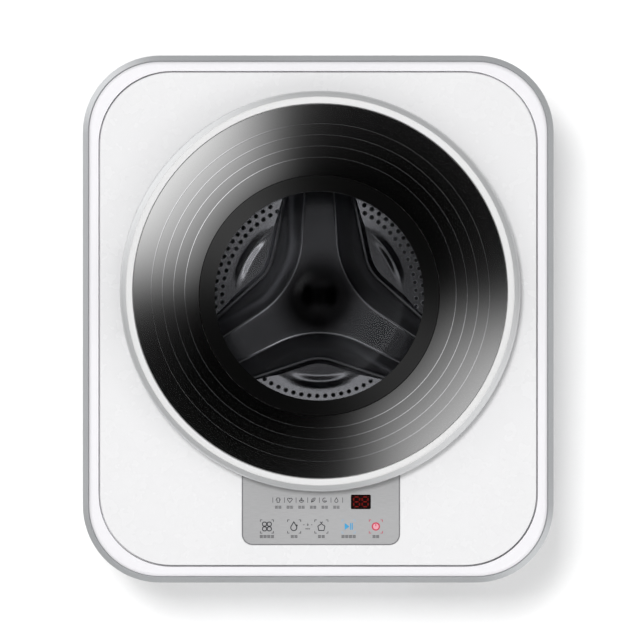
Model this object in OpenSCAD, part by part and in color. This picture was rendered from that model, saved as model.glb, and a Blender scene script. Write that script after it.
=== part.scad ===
// Wall mounted front loading washing machine, in millimetres.
// Every piece is drawn lying on its back and is stood up by upright():
// X is to the right, Y is up, and Z is the distance out from the wall.
// The origin is the centre of the four wall bolt holes, on the wall.

/* [Body] */
// Width over the edge trim
body_w = 536; // [532:1:570]
// Height over the edge trim
body_h = 600; // [596:1:640]
// Distance from the wall to the face of the front panel
body_d = 292; // [290:1:320]
// Radius of the body's corners
corner_r = 88; // [80:1:92]
// Wall of the outer shell
shell_t = 2.5; // [2:0.25:3]
// How far the edge trim stands outside the shell
trim_proud = 3; // [2.5:0.5:4]
// Width of the edge trim as seen from the front
trim_w = 7.4; // [7:0.1:9]
// Length of the edge trim along the side
trim_l = 31; // [26:1:36]
// Width of the white bezel
bezel_w = 11; // [10:0.5:13]
// Radius of the seam's corners
seam_r = 83; // [78:1:84]
// Width of the seam round the front panel
seam = 2; // [1.2:0.2:2.4]
// Wall of the front panel
panel_t = 2.5; // [2:0.25:3]

/* [Wall mounting] */
// Distance between the wall bolts across
bolt_w = 450; // [446:1:454]
// Distance between the wall bolts upwards
bolt_h = 300; // [290:1:310]
// Radius of the wall bolt holes
bolt_hole_r = 5.5; // [5:0.25:6.5]
// Radius of the rubber wall pads
pad_r = 20; // [17:0.5:21]
// Thickness of the rubber wall pads
pad_t = 6; // [5:0.5:8]
// Thickness of the rear frame's plate
frame_t = 2.5; // [2:0.25:3.5]

/* [Door] */
// Radius of the door ring
door_r = 226; // [224:0.5:228]
// Offset of the door's centre to the right
door_x = 2.2; // [1:0.1:3]
// Height of the door's centre above the wall bolts' centre
door_z = 31; // [29:0.5:32]
// Thickness of the door
door_t = 29; // [28:0.5:32]
// Gap between the front panel and the door
door_gap = 1; // [0.8:0.1:1.5]
// Radius of the black disc
disc_r = 211.7; // [210:0.1:213]
// Outer radius of the dark sloping rim
rim_r = 135.8; // [134:0.1:138]
// Radius of the clear window
window_r = 118.5; // [117:0.1:119]
// Wall of the glass bowl
glass_t = 4; // [3:0.25:5]
// Depth of the glass bowl behind its flange
bowl_depth = 60; // [52:1:64]
// Radius of the door's hinge pin
hinge_pin_r = 3; // [2.5:0.1:3.5]
// Gap round a turning pin
pin_gap = 0.05; // [0.03:0.01:0.08]

/* [Wash unit] */
// Offset of the drum's axis to the right
wash_x = 1.2; // [0:0.2:3]
// Height of the drum's axis above the wall bolts' centre
wash_z = 26; // [25:0.5:27]
// Radius of the drum
drum_r = 200; // [196:1:202]
// Length of the drum
drum_depth = 131; // [126:1:132]
// Sheet thickness of the drum
drum_t = 1.2; // [1:0.1:1.6]
// Radius of the drum's mouth
mouth_r = 138; // [134:1:142]
// Height of the raised star on the drum's back
star_h = 22; // [19:0.5:23]
// Distance from the axis to the tips of the hollows between the arms, at the top
top_tip = 42; // [40:1:46]
// Distance from the axis to the tips of the hollows between the arms, at the foot
foot_tip = 72; // [70:1:76]
// Radius of the small holes in the drum
hole_r = 2.3; // [1.8:0.1:2.5]
// Gap between the drum and the tub
tub_gap = 12; // [10:0.5:13]
// Wall of the tub
tub_t = 3; // [2.5:0.25:3.5]
// Radius of the drum shaft in its rear bearing
shaft_r = 12.5; // [11.5:0.25:13]
// Radius of the drum pulley under the belt
pulley_r = 120; // [114:1:122]
// Radius of the motor pulley under the belt
motor_pulley_r = 12; // [11:0.5:13]
// Width of the drive belt
belt_w = 12; // [10:0.5:13]
// Thickness of the drive belt
belt_t = 3; // [2.5:0.25:3.5]
// Radius of the motor
motor_r = 48; // [44:1:49]
// Length of the motor
motor_l = 98; // [92:1:104]

/* [Controls] */
// Width of the control fascia
fascia_w = 179.1; // [176:0.1:182]
// Height of the control fascia
fascia_h = 91.5; // [90:0.5:93]
// Radius of the fascia's corners
fascia_r = 12; // [8:0.5:14]
// Width of the display
display_w = 22.4; // [21:0.1:24]
// Height of the display
display_h = 16.2; // [15:0.1:17]
// Distance between the touch keys
key_pitch = 30.9; // [30:0.1:31.5]

/* [Water] */
// Radius of the inlet's threaded spigot
inlet_r = 13.2; // [12.8:0.1:13.4]
// Radius of the drain outlet
outlet_r = 10; // [9:0.25:10.5]
// Width of the detergent box
box_w = 72; // [70:1:74]
// Length of the detergent box
box_l = 72; // [70:1:74]
// Radius of the drain filter's cap
filter_r = 26; // [24:0.5:27]

/* [Hidden] */
$fn = 96;
eps = 0.01;
clear = 0.3;

// Distances out from the wall
frame_front = pad_t + frame_t;
pulley_d = frame_front + 18.5;
pulley_w = belt_w + 2;
hub_d = pulley_d + pulley_w + 6;
rear_bearing_w = 15;
front_bearing_w = 16;
bearing_gap = 11;
seal_w = 6;
rear_bearing_d = hub_d + 1;
front_bearing_d = rear_bearing_d + rear_bearing_w + bearing_gap;
seal_d = front_bearing_d + front_bearing_w + 1;
hub_front = seal_d + seal_w;
spider_d = hub_front + 2.5;
drum_back_d = spider_d + 5.5;
drum_front_d = drum_back_d + drum_depth;
tub_wall_d = hub_d + 15;
tub_split_d = tub_wall_d + 96;
tub_front_d = drum_front_d + 8;
tub_face_d = tub_front_d + tub_t;
weight_t = 14;
trim_front = body_d - 5;
trim_back = trim_front - trim_l;
shell_front = trim_back + 6;
door_back = body_d + door_gap;
door_front = door_back + door_t;

// Case
shell_w = body_w - 2 * trim_proud;
shell_h = body_h - 2 * trim_proud;
shell_r = corner_r - trim_proud;
inner_w = shell_w - 2 * shell_t;
inner_h = shell_h - 2 * shell_t;
inner_r = shell_r - shell_t;
top_z = shell_h / 2;
bezel_in = trim_w + clear + bezel_w;
ledge = 6;
panel_w = body_w - 2 * (bezel_in + seam);
panel_h = body_h - 2 * (bezel_in + seam);
panel_r = seam_r - seam;
panel_hole_r = 151;
lip_t = 2;

// Tub and drum
tub_r = drum_r + tub_gap;
tub_out = tub_r + tub_t;
flange_r = tub_out + 11;
flange_t = 6;
screw_count = 16;
lip_r = 146;
front_shaft_r = shaft_r + 2.5;
hub_shaft_r = front_shaft_r + 2;
rear_bearing_r = shaft_r + 13.5;
front_bearing_r = front_shaft_r + 16;
hub_r = front_bearing_r + 9;
top_slope = 0.494;
top_round = 111;
foot_slope = 0.33;
foot_round = 49;
spider_h = 12.5;
spider_bolt_at = 160;
hole_rows = [115.2, 123.5];
hole_step = 4.74;
star_angles = [90, 210, 330];
sump_w = 150;
sump_l = 70;
sump_d = tub_wall_d + 14;
sump_z = wash_z - tub_out - 23;
sump_x = wash_x + 60;
heater_z = sump_z + 14;
isolator_x = 180;
isolator_up = 90;
isolator_down = -60;
isolator_r = 13;
isolator_seat = frame_front + 27;

// Motor and belt
motor_x = -body_w / 2 + 93;
motor_z = -body_h / 2 + 95;
motor_d = hub_d + 5;
motor_shaft_r = 5;
bracket_t = 4;
bracket_d = motor_d - bracket_t - 1;
belt_gap = 0.3;
belt_dx = motor_x - wash_x;
belt_dz = motor_z - wash_z;
belt_run = norm([belt_dx, belt_dz]);
belt_turn = atan2(belt_dz, belt_dx);
belt_lean = acos((pulley_r - motor_pulley_r) / belt_run);
lug_angles = [215, 250];
lug_r = 198;

// Door
hinge_in = 8;
hinge_x = door_x - door_r + hinge_in;
hinge_d = body_d + 12;
hinge_half = 46;
ear_at = 30;
ear_w = 6;
knuckle_r = 5.5;
flange_back = door_back + 3.2;
bowl_base_r = window_r + 1;
bowl_sphere = (bowl_base_r * bowl_base_r + bowl_depth * bowl_depth) / (2 * bowl_depth);
frame_hole_r = bowl_base_r + 2;
hook_x = door_r - 30;
hook_d = door_back + 9;
hook_pin_r = 2;
grip_half = 40;
grip_r = 207;
grip_depth = 12;

// Controls
fascia_x = 3.1;
fascia_z = -body_h / 2 + 43.5 + fascia_h / 2;
fascia_front = body_d + 0.6;
fascia_t = 3;
display_in = 45.3;
display_z = fascia_z + 3.1;
key_z = fascia_z - 24.8;
box_back = body_d - 24;
board_d = box_back + 9;
board_t = 1.6;
board_w = 162;
board_h = 66;
tray_w = 170;
tray_h = 76;

// Water parts
det_x = 144;
det_d = tub_split_d + 44;
det_depth = 72;
lid_gap = 0.6;
lid_t = 2.5;
lid_pin_r = 1.2;
pocket_w = 60;
pocket_l = 54;
pocket_h = 38;
frame_lip = 16;
flat_half = shell_w / 2 - shell_r;
inlet_x = -flat_half + pocket_w / 2 + 2;
inlet_d = pad_t + frame_lip + 1 + pocket_l / 2;
drain_d = inlet_d;
drain_pocket_x = flat_half - pocket_w / 2 - 2;
pump_x = flat_half - 16;
pump_d = 190;
chamber_h = 66;
volute_d = 141;
volute_z = -shell_h / 2 + 44;
volute_r = 24;
gland_x = pump_x - 32;
supply_x = flat_half - 1;
supply_z = top_z - 58;

// ---- Helpers ----

// Stands a piece that is drawn on its back up against the wall
module upright() rotate([90, 0, 0]) children();

// Places a piece that turns about the drum's axis
module at_drum(d = 0) translate([wash_x, wash_z, d]) children();

// Places a piece that is centred on the door
module at_door(d = 0) translate([door_x, door_z, d]) children();

// Rectangle with round corners
module rounded_rect(w, h, r) {
    square([w - 2 * r, h], center = true);
    square([w, h - 2 * r], center = true);
    for (x = [-1, 1], y = [-1, 1]) translate([x * (w / 2 - r), y * (h / 2 - r)]) circle(r);
}

// Plate with round corners
module rounded_plate(w, h, r, t) linear_extrude(t) rounded_rect(w, h, r);

// Carries a profile (distance from the corner's centre, distance from the wall) round a
// rectangle with round corners
module sweep_round(w, h, r) {
    for (i = [0:3]) {
        sx = (i == 0 || i == 3) ? 1 : -1;
        sy = i < 2 ? 1 : -1;
        side = i % 2 == 0 ? h - 2 * r : w - 2 * r;
        reach = i % 2 == 0 ? w / 2 - r : h / 2 - r;
        translate([sx * (w / 2 - r), sy * (h / 2 - r), 0]) rotate(i * 90)
            rotate_extrude(angle = 90) children();
        rotate(i * 90) translate([reach, side / 2, 0]) rotate([90, 0, 0])
            linear_extrude(side) children();
    }
}

// Flat ring
module ring(r_out, r_in, h) difference() {
    cylinder(r = r_out, h = h);
    translate([0, 0, -1]) cylinder(r = r_in, h = h + 2);
}

// Box given by its centre across and up, and its back
module block(x, y, d, w, h, l) translate([x - w / 2, y - h / 2, d]) cube([w, h, l]);

// Extrudes an outline of (across, distance from the wall) downwards from the height y
module hang(y, h) translate([0, y, 0]) rotate([90, 0, 0]) linear_extrude(h) children();

// Points of an arc about c
function arc(c, r, from, to, n = 8) =
    [for (i = [0:n]) let (a = from + (to - from) * i / n) c + r * [cos(a), sin(a)]];

// One straight length of a pipe from a to b
module pipe_leg(a, b, r) {
    v = b - a;
    translate(a) rotate([0, acos(v[2] / norm(v)), atan2(v[1], v[0])]) cylinder(r = r, h = norm(v));
}

// A pipe of square turns along a list of corners, bent to one radius
module pipe(path, r, bend) {
    last = len(path) - 1;
    step = [for (i = [0:last - 1]) (path[i + 1] - path[i]) / norm(path[i + 1] - path[i])];
    for (i = [0:last - 1])
        pipe_leg(path[i] + (i > 0 ? bend : 0) * step[i],
            path[i + 1] - (i < last - 1 ? bend : 0) * step[i], r);
    for (i = [1:last - 1]) {
        u = step[i - 1];
        v = step[i];
        w = cross(u, v);
        c = path[i] - bend * u + bend * v;
        multmatrix([[-v[0], u[0], w[0], c[0]], [-v[1], u[1], w[1], c[1]], [-v[2], u[2], w[2], c[2]]])
            rotate_extrude(angle = 90) translate([bend, 0]) circle(r);
    }
}

// Hose with a bore
module hose(path, r, wall, bend) difference() {
    pipe(path, r, bend);
    pipe(path, r - wall, bend);
    for (end = [0, len(path) - 1]) {
        away = end == 0 ? path[0] - path[1] : path[end] - path[end - 1];
        pipe_leg(path[end] - away / norm(away), path[end] + away / norm(away), r - wall);
    }
}

// A smooth line through a list of points
function through(a, b, c, d, t) = 0.5 * (2 * b + (c - a) * t + (2 * a - 5 * b + 4 * c - d) * t * t
    + (3 * b - a - 3 * c + d) * t * t * t);
function smooth(p, n = 4) = [for (i = [0:len(p) - 2], k = [0:n - 1])
    through(p[max(i - 1, 0)], p[i], p[i + 1], p[min(i + 2, len(p) - 1)], k / n), p[len(p) - 1]];

// Step to one side of a line at its point i, for an even thickness
function ahead(p, i) = let (j = min(i, len(p) - 2)) (p[j + 1] - p[j]) / norm(p[j + 1] - p[j]);
function aside(p, i) = let (a = ahead(p, max(i - 1, 0)), b = ahead(p, i), m = (a + b) / norm(a + b))
    [-m[1], m[0]] / (m * a);

// Band of an even thickness along a line
module band(p, t) polygon(concat(
    [for (i = [0:len(p) - 1]) p[i] + aside(p, i) * t / 2],
    [for (i = [len(p) - 1:-1:0]) p[i] - aside(p, i) * t / 2]));

// Places a copy at each corner of a rectangle
module corners(w, h) for (x = [-1, 1], y = [-1, 1]) translate([x * w / 2, y * h / 2, 0]) children();

// ---- Wall side ----

module wall_pads() color("dimgray") upright() corners(bolt_w, bolt_h) ring(pad_r, bolt_hole_r, pad_t);

module back_frame() color("silver") upright() {
    fit_w = inner_w - 2 * clear;
    fit_h = inner_h - 2 * clear;
    fit_r = inner_r - clear;
    difference() {
        union() {
            translate([0, 0, pad_t]) rounded_plate(fit_w, fit_h, fit_r, frame_t);
            translate([0, 0, pad_t]) difference() {
                rounded_plate(fit_w, fit_h, fit_r, frame_lip);
                translate([0, 0, -1]) rounded_plate(fit_w - 4, fit_h - 4, fit_r - 2, frame_lip + 2);
            }
            corners(bolt_w, bolt_h) translate([0, 0, frame_front - eps]) cylinder(r = 13, h = 6);
            at_drum(frame_front - eps) ring(143, 138, 5);
            for (x = [-75, 75]) block(x, 225, frame_front - eps, 6, 90, 5);
            for (x = [-95, 0, 95]) block(x, -235, frame_front - eps, 6, 70, 5);
            isolator_places() translate([0, 0, frame_front - eps])
                cylinder(r = isolator_r, h = isolator_seat - frame_front);
        }
        corners(bolt_w, bolt_h) translate([0, 0, pad_t - 1]) cylinder(r = bolt_hole_r, h = 30);
        at_drum(pad_t - 1) ring(142, 139, 2);
        for (x = [-75, 75]) block(x, 225, pad_t - 1, 3, 88, 2);
        for (x = [-95, 0, 95]) block(x, -235, pad_t - 1, 3, 68, 2);
        for (y = [-9:9:9], x = [-60:20:60]) block(x, y - shell_h / 2 + 29, pad_t - 1, 14, 3, frame_t + 2);
    }
}

module isolator_places() for (x = [-1, 1], y = [isolator_down, isolator_up])
    translate([wash_x + x * isolator_x, wash_z + y, 0]) children();

// Opening in the shell for one of the pockets
module pocket_cut(x, y, d) block(x, y, d - pocket_l / 2 + 2, pocket_w - 4, 20, pocket_l - 4);

module outer_shell() color("white") upright() difference() {
    translate([0, 0, pad_t]) rounded_plate(shell_w, shell_h, shell_r, shell_front - pad_t);
    translate([0, 0, pad_t - 1]) rounded_plate(inner_w, inner_h, inner_r, shell_front - pad_t + 2);
    pocket_cut(inlet_x, top_z, inlet_d);
    pocket_cut(drain_pocket_x, -top_z, drain_d);
    block(det_x, top_z, det_d - box_l / 2 - clear, box_w + 2 * clear, 20, box_l + 2 * clear);
    translate([pump_x, -top_z + 10, pump_d]) rotate([90, 0, 0]) cylinder(r = filter_r + 4 + clear, h = 20);
    for (x = [-60:15:60]) block(x, -top_z, 60, 5, 20, 44);
}

module shell_screws() color("silver") upright()
    for (x = [-1, 1], y = [-180:120:180]) translate([x * shell_w / 2, y, pad_t + 11])
        rotate([0, x * 90, 0]) cylinder(r1 = 4.5, r2 = 3.5, h = 1.8);

// ---- Front of the case ----

module edge_trim() color("silver") upright() {
    out = corner_r;
    inside = corner_r - trim_w;
    sweep_round(body_w, body_h, corner_r) polygon(concat(
        [[shell_r + 0.15, trim_back], [out, trim_back + 1]],
        arc([out - 4, trim_front - 8], 4, 0, 60),
        [[inside + 1.2, trim_front], [inside, trim_front - 1.2], [inside, shell_front + clear],
         [shell_r + 0.15, shell_front + clear]]));
}

module front_bezel() color("white") upright() {
    out = corner_r - trim_w - clear;
    deep = 30;
    seat = body_d - panel_t - 7.5;
    difference() {
        sweep_round(body_w, body_h, corner_r) polygon(concat(
            [[deep, shell_front + 1], [out, shell_front + 1], [out, body_d - 6]],
            arc([out - 5, body_d - 5], 5, 0, 90),
            [[deep, body_d]]));
        translate([0, 0, seat])
            rounded_plate(body_w - 2 * bezel_in, body_h - 2 * bezel_in, seam_r, 30);
        translate([0, 0, shell_front])
            rounded_plate(body_w - 2 * (bezel_in + ledge), body_h - 2 * (bezel_in + ledge),
                seam_r - ledge, 40);
    }
}

module front_panel() color("white") upright() difference() {
    union() {
        translate([0, 0, body_d - panel_t]) rounded_plate(panel_w, panel_h, panel_r, panel_t);
        translate([0, 0, body_d - panel_t - 7.2]) difference() {
            rounded_plate(panel_w, panel_h, panel_r, 7.2 + eps);
            translate([0, 0, -1])
                rounded_plate(panel_w - 2 * lip_t, panel_h - 2 * lip_t, panel_r - lip_t, 10);
        }
        at_drum(body_d - panel_t - 6) ring(panel_hole_r + lip_t, panel_hole_r, 6 + eps);
    }
    at_drum(body_d - 20) cylinder(r = panel_hole_r, h = 40);
    translate([fascia_x, fascia_z, body_d - 20])
        rounded_plate(fascia_w + 2 * clear, fascia_h + 2 * clear, fascia_r + clear, 40);
    block(hook_x + 1, door_z, body_d - 20, 23, 18, 40);
}

module control_fascia() color("silver") upright() difference() {
    translate([fascia_x, fascia_z, fascia_front - fascia_t]) {
        rounded_plate(fascia_w, fascia_h, fascia_r, fascia_t - 0.4);
        rounded_plate(fascia_w - 0.8, fascia_h - 0.8, fascia_r - 0.4, fascia_t);
    }
    translate([fascia_x + display_in, display_z, 0])
        rounded_plate(display_w + 0.3, display_h + 0.3, 1.5, 400);
}

module display_lens() color("black") upright()
    translate([fascia_x + display_in, display_z, fascia_front - 2])
        rounded_plate(display_w, display_h, 1.35, 2.1);

// One figure eight of seven bars
module figure_eight(w, h, t) {
    for (y = [-1, 0, 1]) translate([-w / 2 + t, y * h / 2 - t / 2]) square([w - 2 * t, t]);
    for (x = [-1, 1], y = [0, 1])
        translate([x * w / 2 - t / 2, y * h / 2 - h / 2 + t]) square([t, h / 2 - 2 * t]);
}

module display_segments() color("red") upright()
    for (x = [-1, 1]) translate([fascia_x + display_in + x * 4.8, display_z, fascia_front - 2.9])
        linear_extrude(0.5) figure_eight(6.6, 11, 1.2);

module control_board() color("darkgreen") upright() translate([fascia_x, fascia_z, board_d]) {
    difference() {
        block(0, 0, 0, board_w, board_h, board_t);
        corners(board_w - 12, board_h - 10) translate([0, 0, -1]) cylinder(r = 1.7, h = 5);
    }
    block(-30, 8, board_t, 16, 16, 2);
    for (x = [-62:12:-50]) translate([x, 12, board_t]) cylinder(r = 4, h = 8);
    block(0, 27, board_t, 40, 6, 6);
    for (x = [-20:8:12]) block(x, -4, board_t, 4, 3, 1.2);
    block(display_in, display_z - fascia_z, board_t, display_w - 2, display_h - 1.5,
        fascia_front - 2.9 - board_d - board_t);
    for (i = [-2:2]) translate([0.5 + i * key_pitch, key_z - fascia_z, board_t])
        cylinder(r = 5.5, h = fascia_front - fascia_t - board_d - board_t);
}

module board_box() color("gainsboro") upright() translate([fascia_x, fascia_z, box_back]) {
    depth = fascia_front - fascia_t - box_back;
    difference() {
        rounded_plate(tray_w, tray_h, 5, depth);
        translate([0, 0, 2]) rounded_plate(tray_w - 4, tray_h - 4, 3, depth);
    }
    corners(board_w - 12, board_h - 10) {
        cylinder(r = 3.5, h = board_d - box_back);
        cylinder(r = 1.6, h = board_d - box_back + board_t + 2);
    }
}

// ---- Door hinge and lock on the body ----

module door_hinge_bracket() color("silver") upright() {
    difference() {
        block(hinge_x + 17, door_z, body_d, 22, 2 * hinge_half, 2.5);
        for (y = [-40, 40]) translate([hinge_x + 17, door_z + y, body_d - 1]) cylinder(r = 2.5, h = 5);
    }
    for (y = [-ear_at - ear_w, ear_at]) hang(door_z + y + ear_w, ear_w) difference() {
        union() {
            translate([hinge_x, hinge_d]) circle(knuckle_r - 0.5);
            polygon([[hinge_x - 3.4, hinge_d - 3.6], [hinge_x + 6, body_d], [hinge_x + 22, body_d],
                [hinge_x + 22, body_d + 2.5], [hinge_x + 3.6, hinge_d + 3.4]]);
        }
        translate([hinge_x, hinge_d]) circle(hinge_pin_r);
    }
}

module door_hinge_pin() color("silver") upright() translate([hinge_x, door_z + ear_at + ear_w, hinge_d])
    rotate([90, 0, 0]) cylinder(r = hinge_pin_r, h = 2 * (ear_at + ear_w));

module door_lock() color("dimgray") upright() {
    deep = body_d - panel_t - box_back;
    difference() {
        block(hook_x + 3, door_z, box_back, 38, 64, deep);
        block(hook_x + 1, door_z, box_back + 3, 23, 18, deep);
    }
    for (y = [-26, 26]) translate([hook_x + 3, door_z + y, box_back - 3]) cylinder(r = 4, h = 3 + eps);
}

// ---- Gasket ----

module door_gasket() color("gray") upright() at_drum() {
    back = tub_face_d;
    front = body_d - 1;
    rotate_extrude() band(smooth([[lip_r + 5, back + 3], [lip_r + 5, back + 10], [lip_r, back + 15],
        [lip_r - 8, back + 14], [window_r + 9, back + 16], [window_r + 2.5, back + 23],
        [window_r + 7, back + 31], [panel_hole_r - 15, front - 13], [panel_hole_r - 8, front - 13],
        [panel_hole_r - 3.2, front - 7]]), 2.6);
    rotate_extrude() polygon([[window_r + 1.6, back + 23], [window_r + 4, back + 26],
        [window_r + 5.2, door_back - 2.5], [window_r + 8.5, door_back - 0.1],
        [window_r + 6.5, door_back - 0.1], [window_r + 3, door_back - 2.5]]);
    rotate_extrude() polygon([[panel_hole_r - 5, front - 9], [panel_hole_r - clear, front - 9],
        [panel_hole_r - clear, front], [panel_hole_r - 5, front - 1]]);
}

module gasket_clamps() color("silver") upright() at_drum() rotate_extrude() {
    translate([lip_r + 8.3, tub_face_d + 7]) circle(1.5, $fn = 24);
    translate([panel_hole_r - 6.8, body_d - 6]) circle(1.5, $fn = 24);
}

// ---- Tub ----

module tub_screw_places() for (i = [0:screw_count - 1])
    rotate((i + 0.5) * 360 / screw_count) translate([tub_out + 5.5, 0, 0]) children();

// The joint flange of a tub half, from its back face
module tub_flange(d) at_drum(d) difference() {
    ring(flange_r, tub_r, flange_t);
    tub_screw_places() translate([0, 0, -1]) cylinder(r = 2.5, h = flange_t + 2);
}

module tub_front() color("lightgray") upright() {
    nipple_z = wash_z + sqrt(pow(tub_out, 2) - pow(det_x - 15 - wash_x, 2));
    at_drum() rotate_extrude() polygon([[tub_r, tub_split_d], [tub_out, tub_split_d],
        [tub_out, tub_face_d - 12], [tub_out - 12, tub_face_d], [lip_r + 3, tub_face_d],
        [lip_r + 3, tub_face_d + 9], [lip_r, tub_face_d + 9], [lip_r, tub_front_d],
        [tub_out - 13.2, tub_front_d], [tub_r, tub_front_d - 12]]);
    tub_flange(tub_split_d);
    for (i = [0:15]) at_drum() rotate(i * 22.5)
        block(tub_out + 3, 0, tub_split_d + flange_t - eps, 7, 3, 26);
    difference() {
        translate([det_x - 15, nipple_z + 14, det_d]) rotate([90, 0, 0]) cylinder(r = 10, h = 21);
        translate([det_x - 15, nipple_z + 15, det_d]) rotate([90, 0, 0]) cylinder(r = 7.5, h = 24);
        at_drum(tub_split_d) cylinder(r = tub_r, h = 70);
    }
}

module tub_rear() color("lightgray") upright() {
    difference() {
        union() {
            at_drum() rotate_extrude() difference() {
                polygon([[0, hub_d], [hub_r - 4, hub_d], [hub_r, hub_d + 4], [hub_r, tub_wall_d],
                    [tub_out - 14, tub_wall_d], [tub_out, tub_wall_d + 14], [tub_out, tub_split_d],
                    [tub_r, tub_split_d], [tub_r, tub_wall_d + 15], [tub_r - 13, tub_wall_d + tub_t],
                    [hub_r + 3, tub_wall_d + tub_t], [hub_r, tub_wall_d + 8], [hub_r, hub_front],
                    [0, hub_front]]);
                square([front_bearing_r - 9, 3 * hub_front], center = true);
            }
            at_drum(tub_wall_d - 10) for (i = [0:15]) rotate(i * 22.5 + 5)
                block((hub_r + tub_out) / 2 - 6, 0, 0, tub_out - hub_r - 22, 3, 10 + eps);
            isolator_places() translate([0, 0, tub_wall_d - 5]) cylinder(r = isolator_r + 2, h = 6);
            for (a = lug_angles) at_drum(bracket_d + bracket_t) rotate(a) translate([lug_r, 0, 0])
                cylinder(r = 10, h = tub_wall_d + 8 - bracket_d - bracket_t);
        }
        at_drum(rear_bearing_d) cylinder(r = rear_bearing_r, h = rear_bearing_w + 0.5);
        at_drum(front_bearing_d) cylinder(r = front_bearing_r, h = 50);
        at_drum() cylinder(r = rear_bearing_r - 4, h = 80);
        isolator_places() translate([0, 0, tub_wall_d - 25]) cylinder(r = isolator_r + 1, h = 20);
        block(wash_x, (sump_z + wash_z - 190) / 2, sump_d + tub_t, sump_w - 2 * tub_t,
            wash_z - 190 - sump_z - 2 * tub_t, sump_l - 2 * tub_t);
    }
    tub_flange(tub_split_d - flange_t);
    difference() {
        block(wash_x, (sump_z + wash_z - 190) / 2, sump_d, sump_w, wash_z - 190 - sump_z, sump_l);
        block(wash_x, (sump_z + wash_z - 190) / 2 + tub_t, sump_d + tub_t, sump_w - 2 * tub_t,
            wash_z - 190 - sump_z, sump_l - 2 * tub_t);
        at_drum(0) cylinder(r = tub_r, h = 200);
        translate([sump_x, sump_z - 1, 110]) rotate([-90, 0, 0]) cylinder(r = 10, h = 30);
        for (x = [-16, 0, 16]) translate([wash_x + x, heater_z, sump_d - 5]) cylinder(r = 4.2, h = 20);
    }
    translate([sump_x, sump_z + eps, 110]) rotate([90, 0, 0]) ring(12, 10, 12);
}

module tub_screws() color("silver") upright() at_drum(tub_split_d - flange_t) tub_screw_places() {
    translate([0, 0, 2 * flange_t]) cylinder(r = 4, h = 3, $fn = 6);
    cylinder(r = 2.4, h = 2 * flange_t + eps);
    translate([0, 0, -3]) cylinder(r = 4, h = 3, $fn = 6);
}

module tub_isolators() color("dimgray") upright() isolator_places()
    translate([0, 0, isolator_seat]) rotate_extrude() {
        tall = tub_wall_d - 5 - isolator_seat;
        polygon([[0, 0], [isolator_r, 0], [isolator_r, 5], [isolator_r - 3, tall / 2],
            [isolator_r, tall - 5], [isolator_r, tall], [0, tall]]);
    }

module counterweight() color("gray") upright() at_drum(tub_face_d + clear) difference() {
    ring(tub_out - 13, lip_r + 12, weight_t);
    for (a = [45:90:315]) rotate(a) translate([lip_r + 36, 0, -1]) cylinder(r = 5, h = weight_t + 2);
}

// ---- Bearings and seal ----

// Place, bore, outer radius and width of each bearing
bearings = [[rear_bearing_d, shaft_r, rear_bearing_r, rear_bearing_w],
    [front_bearing_d, front_shaft_r, front_bearing_r, front_bearing_w]];
function ball_r(b) = (b[2] - b[1]) * 0.28;
function ball_at(b) = (b[1] + b[2]) / 2;

// Section of one race, between two radii
module race(b, from, to) difference() {
    translate([from, b[0]]) square([to - from, b[3]]);
    translate([ball_at(b), b[0] + b[3] / 2]) circle(ball_r(b) + clear);
}

module bearing_outer_races() color("silver") upright() at_drum()
    for (b = bearings) rotate_extrude() race(b, ball_at(b) + 2, b[2]);

module bearing_inner_races() color("silver") upright() at_drum()
    for (b = bearings) rotate_extrude() race(b, b[1], ball_at(b) - 2);

module bearing_balls() color("silver") upright() for (b = bearings)
    at_drum(b[0] + b[3] / 2) for (i = [0:8]) rotate(i * 40) translate([ball_at(b), 0, 0])
        sphere(r = ball_r(b), $fn = 32);

module shaft_seal() color("black") upright() at_drum(seal_d)
    ring(front_bearing_r, hub_shaft_r + clear, seal_w);

// ---- Drum ----

// Outline of a hollow between two arms, with a rounded tip at that distance from the axis
module hollow_outline(tip, slope, round) {
    lean = atan(slope);
    start = tip + round - round / cos(lean);
    reach = drum_r - 12;
    polygon(concat([[drum_r + 60, reach], [start + slope * reach, reach]],
        [for (a = [lean:-lean / 5:-lean - 0.01]) [tip + round * (1 - cos(a)), round * sin(a)]],
        [[start + slope * reach, -reach], [drum_r + 60, -reach]]));
}

// The raised three-armed star, from the drum's back sheet towards the door:
// a disc with three drafted hollows, and less of it where slim is above 0
module star(slim = 0) difference() {
    cylinder(r = drum_r - drum_t - 2 - slim, h = star_h);
    for (a = star_angles) rotate(a + 60) hull() {
        translate([-slim, 0, drum_t / 2]) linear_extrude(eps)
            hollow_outline(foot_tip, foot_slope, foot_round);
        translate([-slim, 0, star_h + 0.4]) linear_extrude(1)
            hollow_outline(top_tip, top_slope, top_round);
    }
}

module drum_back() color("darkgray") upright() at_drum(drum_back_d) difference() {
    union() {
        cylinder(r = drum_r - drum_t, h = drum_t);
        star();
        translate([0, 0, -6]) ring(drum_r - drum_t, drum_r - 2 * drum_t, 6 + eps);
    }
    translate([0, 0, -drum_t]) star(drum_t);
    for (a = star_angles) rotate(a) translate([spider_bolt_at, 0, 0]) cylinder(r = 4, h = star_h + 1);
    for (a = star_angles, k = [0, 1], s = [-7:7])
        rotate(a + 60 + (s + (k - 0.5) / 2) * hole_step) translate([hole_rows[k], 0, -1])
            cylinder(r = hole_r, h = drum_t + 2, $fn = 24);
}

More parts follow.
